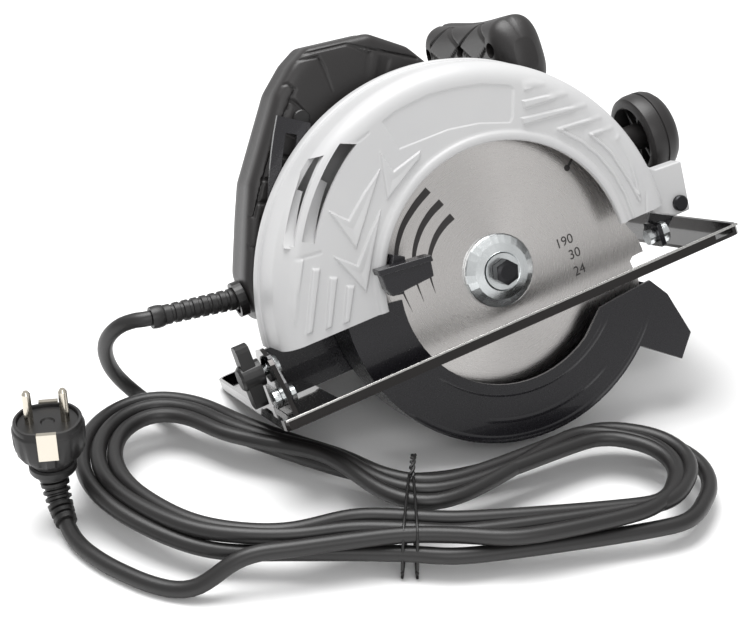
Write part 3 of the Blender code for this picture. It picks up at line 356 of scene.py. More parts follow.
@dataclass(frozen=True)
class Finish:
    """A surface finish: colours, gloss and grain.

    grain_mm is the real size of the grain in millimetres, and relief its height.
    """

    name: str
    colour: str
    shade_colour: str
    roughness: float
    metallic: float = 0.0
    grain: Grain = Grain.SPARK
    grain_mm: float = 0.8
    relief: float = 0.1
    patch_mm: float = 40.0
    coat: float = 0.0

    def make(self) -> bpy.types.Material:
        """The node material: two tones in soft patches, with grain in bump and gloss."""
        material = bpy.data.materials.new(self.name)
        material.use_nodes = True
        tree = material.node_tree
        shader = tree.nodes["Principled BSDF"]
        shader.inputs["Metallic"].default_value = self.metallic
        shader.inputs["Coat Weight"].default_value = self.coat
        place = add_node(tree, "ShaderNodeTexCoord", {}, {})
        if self.grain is Grain.TURNED:
            # The tool's marks run round the spindle, so highlights fan out from it
            arm = add_node(tree, "ShaderNodeVectorMath", {"operation": "SUBTRACT"},
                           {0: place.outputs["Object"], 1: tuple(SAW.origin)})
            round_it = add_node(tree, "ShaderNodeVectorMath", {"operation": "CROSS_PRODUCT"},
                                {0: arm.outputs["Vector"], 1: tuple(SAW.axes[1])})
            tree.links.new(round_it.outputs["Vector"], shader.inputs["Tangent"])
            shader.inputs["Anisotropic"].default_value = 0.75
        patches = add_node(tree, "ShaderNodeTexNoise", {},
                           {"Vector": place.outputs["Object"], "Scale": 1 / (self.patch_mm * MM), "Detail": 4.0})
        tones = add_node(tree, "ShaderNodeMix", {"data_type": "RGBA"},
                         {0: patches.outputs["Fac"], 6: linear(self.colour), 7: linear(self.shade_colour)})
        tree.links.new(tones.outputs[2], shader.inputs["Base Color"])
        grain = self.grain_height(tree, place)
        bump = add_node(tree, "ShaderNodeBump", {},
                        {"Height": grain, "Strength": 0.5, "Distance": self.relief * MM})
        tree.links.new(bump.outputs["Normal"], shader.inputs["Normal"])
        gloss = add_node(tree, "ShaderNodeMapRange", {},
                         {"Value": grain, "To Min": self.roughness - 0.05, "To Max": self.roughness + 0.07})
        tree.links.new(gloss.outputs["Result"], shader.inputs["Roughness"])
        return material

    def grain_height(self, tree: bpy.types.NodeTree, place: bpy.types.Node) -> bpy.types.NodeSocket:
        """The grain's height, from 0 to 1."""
        vector = place.outputs["Object"]
        if self.grain is Grain.TURNED:
            vector = turned_vector(tree, place)
        scale = 1 / (self.grain_mm * MM)
        if self.grain is Grain.ROLLED:
            drawn = add_node(tree, "ShaderNodeMapping", {}, {"Vector": vector, "Scale": (0.04, 1.0, 1.0)})
            vector = drawn.outputs["Vector"]
        noise = add_node(tree, "ShaderNodeTexNoise", {},
                         {"Vector": vector, "Scale": scale, "Detail": 3.0, "Roughness": 0.6})
        return noise.outputs["Fac"]


def turned_vector(tree: bpy.types.NodeTree, place: bpy.types.Node) -> bpy.types.NodeSocket:
    """A vector that changes fast with the distance from the spindle and slowly along a circle."""
    centred = add_node(tree, "ShaderNodeMapping", {"vector_type": "POINT"},
                       {"Vector": place.outputs["Object"], "Location": tuple(-SAW.origin)})
    along = add_node(tree, "ShaderNodeVectorMath", {"operation": "DOT_PRODUCT"},
                     {0: centred.outputs["Vector"], 1: tuple(SAW.axes[0])})
    height = add_node(tree, "ShaderNodeVectorMath", {"operation": "DOT_PRODUCT"},
                      {0: centred.outputs["Vector"], 1: tuple(SAW.axes[2])})
    square = add_node(tree, "ShaderNodeMath", {"operation": "MULTIPLY"},
                      {0: along.outputs["Value"], 1: along.outputs["Value"]})
    total = add_node(tree, "ShaderNodeMath", {"operation": "MULTIPLY_ADD"},
                     {0: height.outputs["Value"], 1: height.outputs["Value"], 2: square.outputs["Value"]})
    radius = add_node(tree, "ShaderNodeMath", {"operation": "SQRT"}, {0: total.outputs["Value"]})
    angle = add_node(tree, "ShaderNodeMath", {"operation": "ARCTAN2"},
                     {0: height.outputs["Value"], 1: along.outputs["Value"]})
    slow = add_node(tree, "ShaderNodeMath", {"operation": "MULTIPLY"}, {0: angle.outputs["Value"], 1: 0.002})
    joined = add_node(tree, "ShaderNodeCombineXYZ", {},
                      {"X": radius.outputs["Value"], "Y": slow.outputs["Value"]})
    return joined.outputs["Vector"]


class Palette:
    """Every finish on the saw, made once."""

    FINISHES = {
        # Powder-coated magnesium casting: light, slightly cool grey with a soft sheen and a faint orange peel
        "cast_paint": Finish("powder_coated_casting", "#b4b4b5", "#bdbdbd", 0.38, 0.0, Grain.PEEL, 2.2, 0.05),
        # Glass-filled nylon from a spark-eroded mould: charcoal with a fine even grain
        "nylon": Finish("spark_grain_nylon", "#1c1a1a", "#242222", 0.42, 0.0, Grain.SPARK, 0.9, 0.10),
        # Soft rubber overmould: a little darker and duller than the nylon
        "overmould": Finish("soft_rubber_overmould", "#171616", "#1d1c1c", 0.5, 0.0, Grain.SPARK, 0.7, 0.08),
        # Plain black polyamide for knobs and buttons, smoother than the shells
        "trim": Finish("black_polyamide", "#121111", "#191818", 0.36, 0.0, Grain.SPARK, 0.9, 0.06),
        # Blade plate ground on a turntable: warm grey steel whose fine rings spread the light
        "blade": Finish("ring_ground_blade_steel", "#c9c6c4", "#dad7d5", 0.27, 1.0, Grain.TURNED, 0.4, 0.05),
        # Turned and polished steel, also used for the bright strip on the base plate's lip, which is a painted
        # highlight
        "steel": Finish("turned_steel_and_lip_highlight", "#b5b4b2", "#c4c3c0", 0.25, 1.0, Grain.TURNED, 0.5, 0.02),
        # Bright zinc plate: near-white metal with a cold tint
        "zinc": Finish("bright_zinc_plate", "#d5d9da", "#e4e7e8", 0.24, 1.0, Grain.TURNED, 0.6, 0.012),
        # Black oxide on a socket-head bolt: oily black steel
        "oxide": Finish("black_oxide_steel", "#2a2a2c", "#343436", 0.33, 0.85, Grain.ROLLED, 0.8, 0.03),
        # Dark nickel-chrome plate on pressed steel: smoky mirror
        "chrome": Finish("smoked_chrome_plate", "#2b2928", "#353231", 0.13, 1.0, Grain.ROLLED, 3.0, 0.02, coat=0.6),
        # Satin black e-coat on pressed steel
        "shield": Finish("satin_black_ecoat", "#17161a", "#1f1e22", 0.27, 0.2, Grain.PEEL, 1.6, 0.02, coat=0.35),
        # Enamelled copper wire
        "copper": Finish("enamelled_copper", "#8a4526", "#9c5230", 0.35, 0.9, Grain.ROLLED, 0.8, 0.08),
        # Pressed carbon
        "carbon": Finish("pressed_carbon", "#242424", "#2e2e2e", 0.6, 0.0, Grain.SPARK, 0.5, 0.05),
        # Extruded rubber sheath: satin black, faintly drawn along
        "sheath": Finish("extruded_rubber_sheath", "#181717", "#201f1f", 0.40, 0.0, Grain.SPARK, 1.1, 0.05),
        # Moulded plug rubber
        "plug": Finish("moulded_plug_rubber", "#161515", "#1d1c1c", 0.42, 0.0, Grain.SPARK, 0.9, 0.07),
        # Nickel-plated brass pins
        "nickel": Finish("nickel_plated_brass", "#c9c2b4", "#d8d2c6", 0.2, 1.0, Grain.ROLLED, 0.7, 0.02),
        # Black screen-printing ink on the blade
        "ink": Finish("screen_print_ink", "#262323", "#2d2a2a", 0.6, 0.0, Grain.SPARK, 0.8, 0.02),
        # Unfilled white acetal spacer
        "acetal": Finish("white_acetal", "#dcd9d0", "#e6e3da", 0.35, 0.0, Grain.SPARK, 1.0, 0.03),
        # Inside of moulded hollows, in the dark
        "recess": Finish("unlit_mould_recess", "#0d0c0c", "#121111", 0.7, 0.0, Grain.SPARK, 1.0, 0.03),
    }

    def __init__(self) -> None:
        """Makes every material."""
        self.made = {key: finish.make() for key, finish in self.FINISHES.items()}

    def __getitem__(self, key: str) -> bpy.types.Material:
        """The material of one finish."""
        return self.made[key]

    def dress(self, node: str, key: str) -> None:
        """Gives a CAD node its finish."""
        held = frame["nodes"][node]
        if not held.data.materials:
            held.data.materials.append(None)
        for slot in held.material_slots:
            slot.material = self.made[key]


# ---------------------------------------------------------------- the mains cord

class MainsCord:
    """The bundled rubber cord, its wire tie and plug, in the bench frame."""

    DIAMETER = 9.0
    TIE = np.array([-100.0, -90.0])
    ALONG = np.array([0.891, -0.454])
    ACROSS = np.array([0.454, 0.891])
    EXIT = (-190.0, 62.5, 82.1)
    LEAD = [(-194, 62.5, 82.1), (-201, 66.5, 81.5), (-209, 74, 73), (-212, 84, 60), (-210, 93, 45), (-205, 99, 30),
            (-197, 101, 17), (-190, 97, 9.0), (-185.5, 88, 6.4), (-184.5, 78.6, 6.3)]
    TAIL = [(-205.2, -88.2, 6.2), (-222, -85.6, 4.8), (-240, -70, 4.7), (-255, -45, 4.7), (-263, -24, 4.8),
            (-265.1, -12, 5.6), (-265.1, -2.0, 8.9), (-265.1, 3.0, 10.6)]
    STEP = 1.5
    LOWEST = 4.6
    HIGHEST = 23.0
    # Each right-hand turn: centre, reach, half-width; each left-hand turn: how far inside the outermost it runs
    RIGHT_TURNS = (((18, -109), 54, 45), ((14, -106), 48, 38), ((12, -110), 38, 33), ((2, -108), 50, 39))
    LEFT_INSETS = (0.0, 10.0, 20.0)
    LEFT_TURN = [(-168, -88), (-208, -68), (-237, -30), (-248, 8), (-240, 44), (-218, 68), (-190, 73), (-167, 56),
                 (-151, 26), (-132, -4), (-112, -32)]
    LEFT_CENTRE = (-196, 4)
    LANES = ((-28, 28), (-19, 19), (-9.5, 9.5))

    def __init__(self, palette: "Palette") -> None:
        """Keeps the finishes."""
        self.palette = palette

    def lane(self, across: float, along: float) -> np.ndarray:
        """A place on a strand that runs through the tie."""
        return self.TIE + across * self.ACROSS + along * self.ALONG

    def flat_route(self) -> np.ndarray:
        """The bundled stretch seen from above, as a smooth line of even steps."""
        points = [(-176.8, 64.2), (-157.4, 31.6), (-134, -3), (-110, -35), (-88, -55), (-58, -65), (-18, -65.5)]
        for turn, (centre, reach, half) in enumerate(self.RIGHT_TURNS):
            around = np.radians(np.linspace(80, -85, 7))
            points += [(centre[0] + reach * math.cos(a), centre[1] + half * math.sin(a)) for a in around]
            if turn < len(self.LANES):
                near, far = self.LANES[turn]
                points += [tuple(self.lane(near, s)) for s in (35, 0, -30)]
                points += self.left_turn(self.LEFT_INSETS[turn])
                points += [tuple(self.lane(far, s)) for s in (-10, 25)]
        points += [tuple(self.lane(*place)) for place in ((-24, 60), (-24, 30), (-24, 0), (-30, -30), (-38, -62))]
        points += [(-190, -91)] + [place[:2] for place in self.TAIL[:3]]
        return spline(points, self.STEP)

    def left_turn(self, inset: float) -> list:
        """The left-hand turn, moved towards its own centre."""
        points = np.array(self.LEFT_TURN, float)
        inward = np.array(self.LEFT_CENTRE, float) - points
        inward /= np.linalg.norm(inward, axis=1)[:, None]
        share = np.sin(np.linspace(0.15, 1.0, len(points)) * math.pi * 0.85)[:, None]
        return [tuple(p) for p in points + inward * inset * np.clip(share, 0.2, 1.0)]

    def settled(self, flat: np.ndarray) -> np.ndarray:
        """Heights for a line laid down from its start, each stretch over what it crosses."""
        window = int(30 / self.STEP)
        height = np.full(len(flat), self.LOWEST)
        for here in range(window, len(flat)):
            apart = np.linalg.norm(flat[:here - window] - flat[here], axis=1)
            near = apart < self.DIAMETER
            if near.any():
                lift = height[:here - window][near] + np.sqrt(self.DIAMETER ** 2 - apart[near] ** 2)
                height[here] = max(self.LOWEST, lift.max())
            if here % window == 0:
                height[:here + 1] = np.maximum(height[:here + 1], self.smoothed(height[:here + 1]))
        return np.clip(np.maximum(height, self.smoothed(height)), self.LOWEST, self.HIGHEST)

    def smoothed(self, height: np.ndarray) -> np.ndarray:
        """Long soft humps over the lifted places."""
        reach = int(14 / self.STEP)
        ends = np.pad(height, reach, mode="edge")
        widened = np.max([ends[k:k + len(height)] for k in range(2 * reach + 1)], axis=0)
        weights = np.hanning(2 * reach + 3)[1:-1]
        ends = np.pad(widened, reach, mode="edge")
        return np.convolve(ends, weights / weights.sum(), mode="valid")

    def line(self) -> np.ndarray:
        """The whole cord's centreline, in bench millimetres."""
        flat = self.flat_route()
        height = self.settled(flat)
        bundle = np.column_stack([flat, height])
        return resample(np.vstack([spline([self.EXIT] + self.LEAD, 3.0)[:-2], bundle[3:],
                                   spline(self.TAIL[2:], 3.0)[1:]]), 4.5)

    def build(self) -> None:
        """The cord and everything on it."""
        line = self.line()
        window = np.ones(5) / 5
        inner = np.stack([np.convolve(line[:, k], window, mode="valid") for k in range(3)], axis=1)
        line = np.vstack([line[:2], inner, line[-2:]])
        curve = bpy.data.curves.new("mains_cord", "CURVE")
        curve.dimensions = "3D"
        curve.bevel_depth = self.DIAMETER / 2 * MM
        curve.bevel_resolution = 8
        curve.use_fill_caps = True
        thread = curve.splines.new("POLY")
        thread.points.add(len(line) - 1)
        for place, point in zip(thread.points, SAW.bench(line)):
            place.co = (*point, 1.0)
        thread.use_smooth = True
        cord = bpy.data.objects.new("mains_cord", curve)
        bpy.context.scene.collection.objects.link(cord)
        seat(cord, "base", self.palette["sheath"], ("cord_lead", "cord_hank", "cord_tail"))
        plug = Plug(self.palette).build()
        for node in ("plug_pin_left", "plug_pin_right"):
            self.palette.dress(node, "nickel")
        tie = self.build_tie(line)

    def build_tie(self, line: np.ndarray) -> bpy.types.Object:
        """Two turns of coated wire round the bundle, twisted together on top."""
        from_tie = line[:, :2] - self.TIE
        along = from_tie @ self.ALONG
        across = from_tie @ self.ACROSS
        close = (np.abs(along) < 4) & (np.abs(across) < 36)
        pieces = []
        for number, offset in enumerate((-2.4, 2.2)):
            over = []
            for v in np.linspace(-32.6, 32.6, 15):
                below = close & (np.abs(across - v) < 6)
                top = line[below, 2].max() + self.DIAMETER / 2 + 0.7 if below.any() else 6.0
                ends = 1 - 0.5 * (abs(v) / 33) ** 8
                over.append((v, max(top * ends, 5.0)))
            loop = over + [(33.4, 4.6), (30, 0.9), (0, 0.9), (-30, 0.9), (-33.4, 4.6)]
            shape = [(*(self.lane(v, offset + 0.05 * v * (1 - 2 * number))), z) for v, z in loop + [loop[0]]]
            path = SAW.bench(spline(shape, 1.2))
            pieces.append(sweep(f"tie_loop_{number}", path, np.full(len(path), 0.8 * MM), 8, (0.02, 0.03, 1)))
        top = line[close, 2].max() + self.DIAMETER / 2
        foot = (*self.lane(20, 0), top - 2)
        turn = np.linspace(0, 5 * math.pi, 60)
        climb = np.linspace(0, 1, 60)
        for start in (0.0, math.pi):
            twist = np.stack([foot[0] + 9 * climb + 1.0 * np.cos(turn + start), foot[1] + 15 * climb + 1.0 * np.sin(turn + start),
                              foot[2] + 6 * np.sin(climb * 2.2)], axis=1)
            pieces.append(sweep(f"tie_twist_{len(pieces)}", SAW.bench(twist), np.full(60, 0.8 * MM), 8, (0, 0.1, 1)))
        tie = shade(join("wire_tie", pieces), 60)
        return seat(tie, "base", self.palette["trim"], ("cord_tie",))


class Plug:
    """A straight two-pin earthed plug with side clips and a ribbed neck, standing on its cord end."""

    PLACE = (-264.5, 15.0)
    TURN = math.radians(-17.0)
    STEPS = 96
    PROFILE = [(0, 35), (10.5, 34.6), (11.6, 36.5), (13.2, 39), (16.6, 42.2), (18.6, 45.6), (19.3, 50), (19.5, 58.6),
               (19.2, 59.4), (18.5, 60.2), (18.4, 62.6), (17.9, 63.2), (16.6, 63.3), (16.3, 62.8), (16.3, 60.6),
               (0, 60.4)]

    def __init__(self, palette: "Palette") -> None:
        """Keeps the finishes."""
        self.palette = palette

    def build(self) -> bpy.types.Object:
        """The moulded body and its metal clips."""
        rings = []
        angle = np.linspace(0, TAU, self.STEPS, endpoint=False)
        for radius, z in self.PROFILE:
            flat_sides = 1 - 0.10 * smoothstep(0.75, 1.0, np.abs(np.sin(angle - self.TURN))) * (44 < z)
            # Grip flutes round the lower part
            flutes = 1 - 0.05 * (np.cos(angle * 12) > 0.55) * (40 < z < 58)
            reach = radius * flat_sides * flutes
            rings.append(np.stack([self.PLACE[0] + reach * np.cos(angle), self.PLACE[1] + reach * np.sin(angle),
                                   np.full(self.STEPS, float(z))], axis=-1))
        body = surface("plug_shell", SAW.bench(np.stack(rings)))
        neck = self.neck()
        collar = turned_on_bench("plug_collar", [(0, 31), (12.4, 31), (12.9, 32), (12.9, 35), (11.8, 36), (0, 36)], self.PLACE)
        shell = shade(join("plug_moulding", [body, neck, collar]), 38)
        seat(shell, "base", self.palette["plug"], ("plug_body",))
        clips = []
        for side in (-1, 1):
            across = (-math.sin(self.TURN) * side, math.cos(self.TURN) * side)
            centre = (self.PLACE[0] + across[0] * 16.6, self.PLACE[1] + across[1] * 16.6)
            clips.append(bench_box(centre, self.TURN, (5.2, 1.4), (48.0, 64.2)))
        metal = shade(join("earth_clips", clips), 30)
        seat(metal, "base", self.palette["nickel"])
        insert = turned_on_bench("plug_face", [(0, 60.2), (15.6, 60.2), (15.9, 60.6), (15.9, 61.4), (4.0, 61.4), (3.2, 60.5), (0, 60.5)],
                                 self.PLACE)
        seat(shade(insert, 38), "base", self.palette["trim"])
        metal.parent = None
        return shell

    def neck(self) -> bpy.types.Object:
        """The ribbed bend relief, from the body down to the cord on the bench."""
        path = spline([(15.2, 41.0), (14.2, 31.0), (11.5, 22.0), (6.5, 14.8), (0.0, 10.2), (-5.0, 8.4)], 0.8)
        along = np.linspace(0, 1, len(path))
        radius = 9.2 - 3.2 * along
        pitch = np.arange(len(path)) * 0.8 / 4.2
        groove = ((pitch % 1.0) > 0.62) & (along > 0.12) & (along < 0.93)
        radius = np.where(groove, radius - 1.5, radius)
        line = np.column_stack([np.full(len(path), self.PLACE[0] - 0.6), path])
        return sweep("plug_neck", SAW.bench(line), radius * MM, 40, (1, 0, 0))


def turned_on_bench(name: str, profile: list, place: tuple, steps: int = 72) -> bpy.types.Object:
    """A solid of revolution about an upright axis in the bench frame."""
    radius, height = np.array(profile, float).T
    angle = np.linspace(0, TAU, steps, endpoint=False)
    x = place[0] + radius[:, None] * np.cos(angle)
    y = place[1] + radius[:, None] * np.sin(angle)
    z = np.broadcast_to(height[:, None], x.shape)
    return surface(name, SAW.bench(np.stack([x, y, z], axis=-1)), caps=False)


def bench_box(centre: tuple, turn: float, half: tuple, heights: tuple) -> bpy.types.Object:
    """An upright block turned in plan, in the bench frame."""
    corners = [(-1, -1), (1, -1), (1, 1), (-1, 1)]
    rings = []
    for z in heights:
        rings.append([(centre[0] + u * half[0] * math.cos(turn) - v * half[1] * math.sin(turn),
                       centre[1] + u * half[0] * math.sin(turn) + v * half[1] * math.cos(turn), z) for u, v in corners])
    return surface("block", SAW.bench(np.array(rings)))


class Sleeve:
    """The ribbed strain relief between the handle and the cord."""

    START = (-133.0, 55.0, 31.0)
    LENGTH = 58.0
    PITCH = 5.5

    def __init__(self, palette: "Palette") -> None:
        """Keeps the finishes."""
        self.palette = palette

    def build(self) -> None:
        """A tapered tube with rings moulded round it and a bead at its end."""
        start = SAW.saw(self.START)
        level = SAW.bench(MainsCord.EXIT) - start
        direction = level / np.linalg.norm(level)
        step = 0.5
        count = int(self.LENGTH / step)
        along = np.arange(count) * step
        radius = 6.6 - 0.9 * along / self.LENGTH
        ribs = ((along % self.PITCH) < 1.6) & (along > 6) & (along < self.LENGTH - 12)
        radius = np.where(ribs, radius - 0.8, radius)
        bead = along > self.LENGTH - 8
        radius = np.where(bead, 6.7 - 0.035 * (along - self.LENGTH + 4) ** 2, radius)
        path = start + direction * (along * MM)[:, None]
        tube = shade(sweep("cord_sleeve", path, radius * MM, 40), 50)
        seat(tube, "saw_frame", self.palette["plug"], ("strain_relief",))


# ---------------------------------------------------------------- the guards

class UpperGuard:
    """The cast cover over the blade: a dish with a rolled rim, two vents and moulded relief."""

    CENTRE_X = -14.0
    RIM = 126.0
    OPENING = 75.2
    FRONT = -16.2
    BACK = 23.5
    ROWS = 460
    VENTS = ((117.0, 124.5, 121.5, 150.5), (128.0, 133.0, 128.5, 152.0))
    VENT_SLANT = 2.5
    BADGE = [(-43, 106), (-33, 109), (-13, 110.7), (2.7, 109), (19, 105.6), (35.3, 99), (36.2, 96.4), (30.9, 82),
             (28.5, 79.6), (10.7, 85.7), (-8, 88.8), (-39, 88.8)]
    BARS = ([(42.8, 98.1), (42.3, 93.3), (72.3, 90.8), (68.6, 94.2)],
            [(39.2, 88.6), (39.1, 84.2), (81.1, 81.1), (80.9, 82.7)],
            [(35.5, 79.8), (35.4, 75.7), (88.7, 70.8), (87.9, 72.2)])
    RIBS = (((-115, 53.3), (-110.7, 51.9), (-134.4, 14)), ((-108, 45.7), (-103.7, 43.9), (-123.6, 12.8)),
            ((-100.4, 37.4), (-96.2, 35.7), (-112.3, 11.3)), ((-92.9, 29.5), (-88.6, 27.8), (-101.9, 10.3)))
    BOLTS = ([(-50, 91.2), (-46.6, 78.4), (-28, 83.5), (-29, 80.6), (-54.9, 65.5)],
             [(-88.6, 71.6), (-79.8, 62.6), (-66.7, 73.2), (-53.2, 82.4), (-80.9, 46.6)],
             [(-94.2, 47), (-83.4, 37.5), (-71.4, 50.9), (-60.5, 61.2), (-83.5, 22)])
    SWEEPS = ([(55.3, 65.8), (92.9, 62.4)], [(56.8, 64.2), (66.5, 54.5), (74.2, 43.5), (80, 30), (83.3, 16.3), (84.3, 1.6)],
              [(73.6, 56.2), (96, 54.3)], [(73.3, 55.6), (78.5, 48.5), (82.5, 41.2), (88.5, 21.8), (91.1, 9.5)],
              [(89, 48.4), (98.3, 53.8)], [(88.8, 47.7), (91.4, 40), (92.7, 32.1), (91.8, 13)])
    STEPS = ([(-100.4, 51.9), (-115.9, 53.6)], [(-117, 52.8), (-128.6, 52.3)], [(-89, 105), (-85, 102.4), (-59.6, 101), (-53, 103)],
             [(101.1, 24.5), (93.4, 1.1)])

    def __init__(self, palette: "Palette") -> None:
        """Keeps the finishes."""
        self.palette = palette

    def relief(self, x: np.ndarray, z: np.ndarray) -> np.ndarray:
        """How far the face stands proud at each place."""
        height = -0.7 * smoothstep(-0.5, 0.5, inside_depth(x, z, self.BADGE))
        for bar in self.BARS:
            height += 1.3 * smoothstep(-0.5, 0.7, inside_depth(x, z, bar))
        for top_left, top_right, foot in self.RIBS:
            far_foot = (foot[0] + top_right[0] - top_left[0] - 0.5, foot[1])
            height += 1.7 * smoothstep(-0.5, 0.9, inside_depth(x, z, [top_left, top_right, far_foot, foot]))
        for bolt in self.BOLTS:
            depth = inside_depth(x, z, bolt)
            height += 1.2 * smoothstep(-0.5, 0.5, depth) * (1 - 0.75 * smoothstep(0.5, 9.0, depth))
        for line in self.SWEEPS:
            distance = line_distance(x, z, line)
            height += 1.1 * (1 - smoothstep(0.4, 1.5, distance)) + 0.25 * (1 - smoothstep(1.5, 5.0, distance))
        for line in self.STEPS:
            height -= 0.5 * (1 - smoothstep(0.3, 1.1, line_distance(x, z, line)))
        return height

    def opening(self, angle: np.ndarray) -> np.ndarray:
        """The blade opening's distance from the guard's own centre."""
        away = abs(self.CENTRE_X)
        return away * np.cos(angle) + np.sqrt(self.OPENING ** 2 - (away * np.sin(angle)) ** 2)

    def section(self, inner: np.ndarray) -> tuple:
        """The closed section at each row: radii and heights, as rows by columns."""
        outer = [(126, 23.5), (126, 22.9), (126, 16.0), (125.6, 15.2), (124.7, 14.8), (124.5, 13.6), (124.3, 12.0)]
        outer += [(124.3 - 0.7 * t, 12 - 16 * t) for t in np.linspace(0.1, 1, 8)]
        outer += [(111.6 + 12 * math.cos(a), -4.2 - 12 * math.sin(a)) for a in np.radians(np.linspace(5, 90, 14))]
        rows = len(inner)
        fixed = np.array(outer)
        radii = [np.full(rows, r) for r in fixed[:, 0]]
        heights = [np.full(rows, y) for y in fixed[:, 1]]
        start = inner + 7.0
        for t in np.linspace(0, 1, 112)[1:]:
            radii.append(111.6 + (start - 111.6) * t)
            heights.append(np.full(rows, self.FRONT))
        for inset, y in ((6.0, -16.3), (5.2, -16.8), (4.6, -17.5), (3.6, -18.0), (0.9, -18.0), (0.3, -17.6), (0.0, -17.0),
                         (0.0, -14.6), (0.4, -13.9), (3.0, -13.8)):
            radii.append(inner + inset)
            heights.append(np.full(rows, y))
        back = [(110.0, -13.8)] + [(111.0 + 9.8 * math.cos(a), -4.0 - 9.7 * math.sin(a))
                                   for a in np.radians(np.linspace(80, 10, 6))] + [(121.4, 12), (121.6, 23.5)]
        for radius, y in back:
            radii.append(np.full(rows, float(radius)))
            heights.append(np.full(rows, float(y)))
        return np.stack(radii, axis=1), np.stack(heights, axis=1)

    def build(self) -> None:
        """The dish, its back plate, boss and front lug as one casting."""
        share = np.linspace(0, 1, self.ROWS)
        inner = self.opening(0.03 + share * (math.pi - 0.09))
        radii, heights = self.section(inner)
        first = np.arcsin(0.5 / radii)
        last = math.pi - np.arcsin(7.0 / radii)
        angle = first + (last - first) * share[:, None]
        x = self.CENTRE_X + radii * np.cos(angle)
        z = radii * np.sin(angle)
        columns = np.arange(radii.shape[1])
        face = (columns > 24) & (columns < 29 + 112)
        proud = self.relief(x[:, face], z[:, face])
        fade = smoothstep(6.5, 9.5, radii[:, face] - inner[:, None])
        fade = fade * (1 - smoothstep(108.5, 112.0, radii[:, face]) * 0.6)
        heights[:, face] -= proud * fade
        dish = surface("guard_dish", SAW.saw(np.stack([x, heights, z], axis=-1)))
        for near, far, low, high in self.VENTS:
            window = arc((0, 0), far, low + self.VENT_SLANT, high, 20) + arc((0, 0), near, high, low, 20)
            carve(dish, prism("vent", window, -40, -4))
        for near, far, low, high in self.VENTS:
            self.build_fin(near, far, low, high)
        ends = (math.degrees(math.asin(0.5 / 123)), 180 - math.degrees(math.asin(7 / 123)))
        plate = arc((self.CENTRE_X, 0), 123.5, *ends, 80)
        back = prism("guard_back", plate, 20.4, 23.4)
        lug = soften(prism("guard_lug", [(100, 2), (104, -5), (116, -11), (127, -11), (130, 19), (112, 20), (100, 30)],
                           -6, 5.8), 1.2)
        boss = turned("guard_boss", [(6.4, 7.8), (19.4, 7.8), (20, 8.4), (20, 21), (6.4, 21), (6.4, 7.8)], (0, 0))
        for piece, stands in ((shade(dish, 45), ("upper_guard",)), (back, ()), (lug, ()), (shade(boss), ())):
            seat(piece, "saw_frame", self.palette["cast_paint"], stands)


    def build_fin(self, near: float, far: float, low: float, high: float) -> None:
        """A ramp inside a vent that climbs to the face at the vent's lower end."""
        angle = np.radians(np.linspace(high + 0.6, low + 0.42 * (high - low), 24))
        climb = np.linspace(0, 1, 24)
        front = self.FRONT + 1.4 + 11.0 * climb ** 0.8
        rings = []
        for reach, sunk in ((near - 0.6, 0.0), (far + 0.6, 0.0), (far + 0.6, 2.0), (near - 0.6, 2.0)):
            rings.append(np.stack([reach * np.cos(angle), front + sunk, reach * np.sin(angle)], axis=-1))
        fin = surface("vent_fin", SAW.saw(np.stack(rings, axis=1)))
        seat(shade(fin, 40), "saw_frame", self.palette["cast_paint"])


class LowerGuard:
    """The swinging guard, with the raised border and arrow pressed into its face."""

    FACE_Y = -13.0
    PROUD = 0.3
    # Radius, first and last angle in degrees, about the spindle
    BORDERS = ((96.4, -150.0, -36.0), (70.5, -148.0, -42.0), (86.0, -118.0, -60.0))
    TAB = [(-76.2, 30.5), (-46.4, 27.5), (-47.6, 18.4), (-73.5, 16.6), (-76.0, 21.6)]
    LIP = [(-77.6, 33.6), (-45.6, 30.2), (-45.4, 26.6), (-77.4, 29.8)]

    def __init__(self, palette: "Palette") -> None:
        """Keeps the finishes."""
        self.palette = palette

    def build(self) -> None:
        """Narrow raised bands that follow the guard's edges."""
        self.palette.dress("lower_guard", "shield")
        tab = prism("lever_tab", self.TAB, -29.5, -21.3)
        lip = prism("lever_lip", self.LIP, -30.5, -20.5)
        post = prism("lever_post", arc((0, 0), 73.6, 150, 168, 8) + arc((0, 0), 66.0, 168, 150, 8), -22.0, -13.3)
        lever = soften(join("thumb_lever", [tab, lip, post]), 0.7)
        seat(lever, "guard", self.palette["shield"], ("guard_lever",))
        for number, (radius, low, high) in enumerate(self.BORDERS):
            angle = np.radians(np.linspace(low, high, 120))
            fade = np.clip(np.minimum(angle - angle[0], angle[-1] - angle) / 0.12, 0.05, 1)
            rings = []
            for across, rise in ((-1.6, 0.0), (-0.6, 1.0), (0.6, 1.0), (1.6, 0.0), (0.0, -0.4)):
                reach = radius + across
                rings.append(np.stack([reach * np.cos(angle), self.FACE_Y - self.PROUD * rise * fade,
                                       reach * np.sin(angle)], axis=-1))
            band = surface(f"guard_band_{number}", SAW.saw(np.stack(rings, axis=1)))
            seat(shade(band, 60), "guard", self.palette["shield"])


# ---------------------------------------------------------------- the blade's print

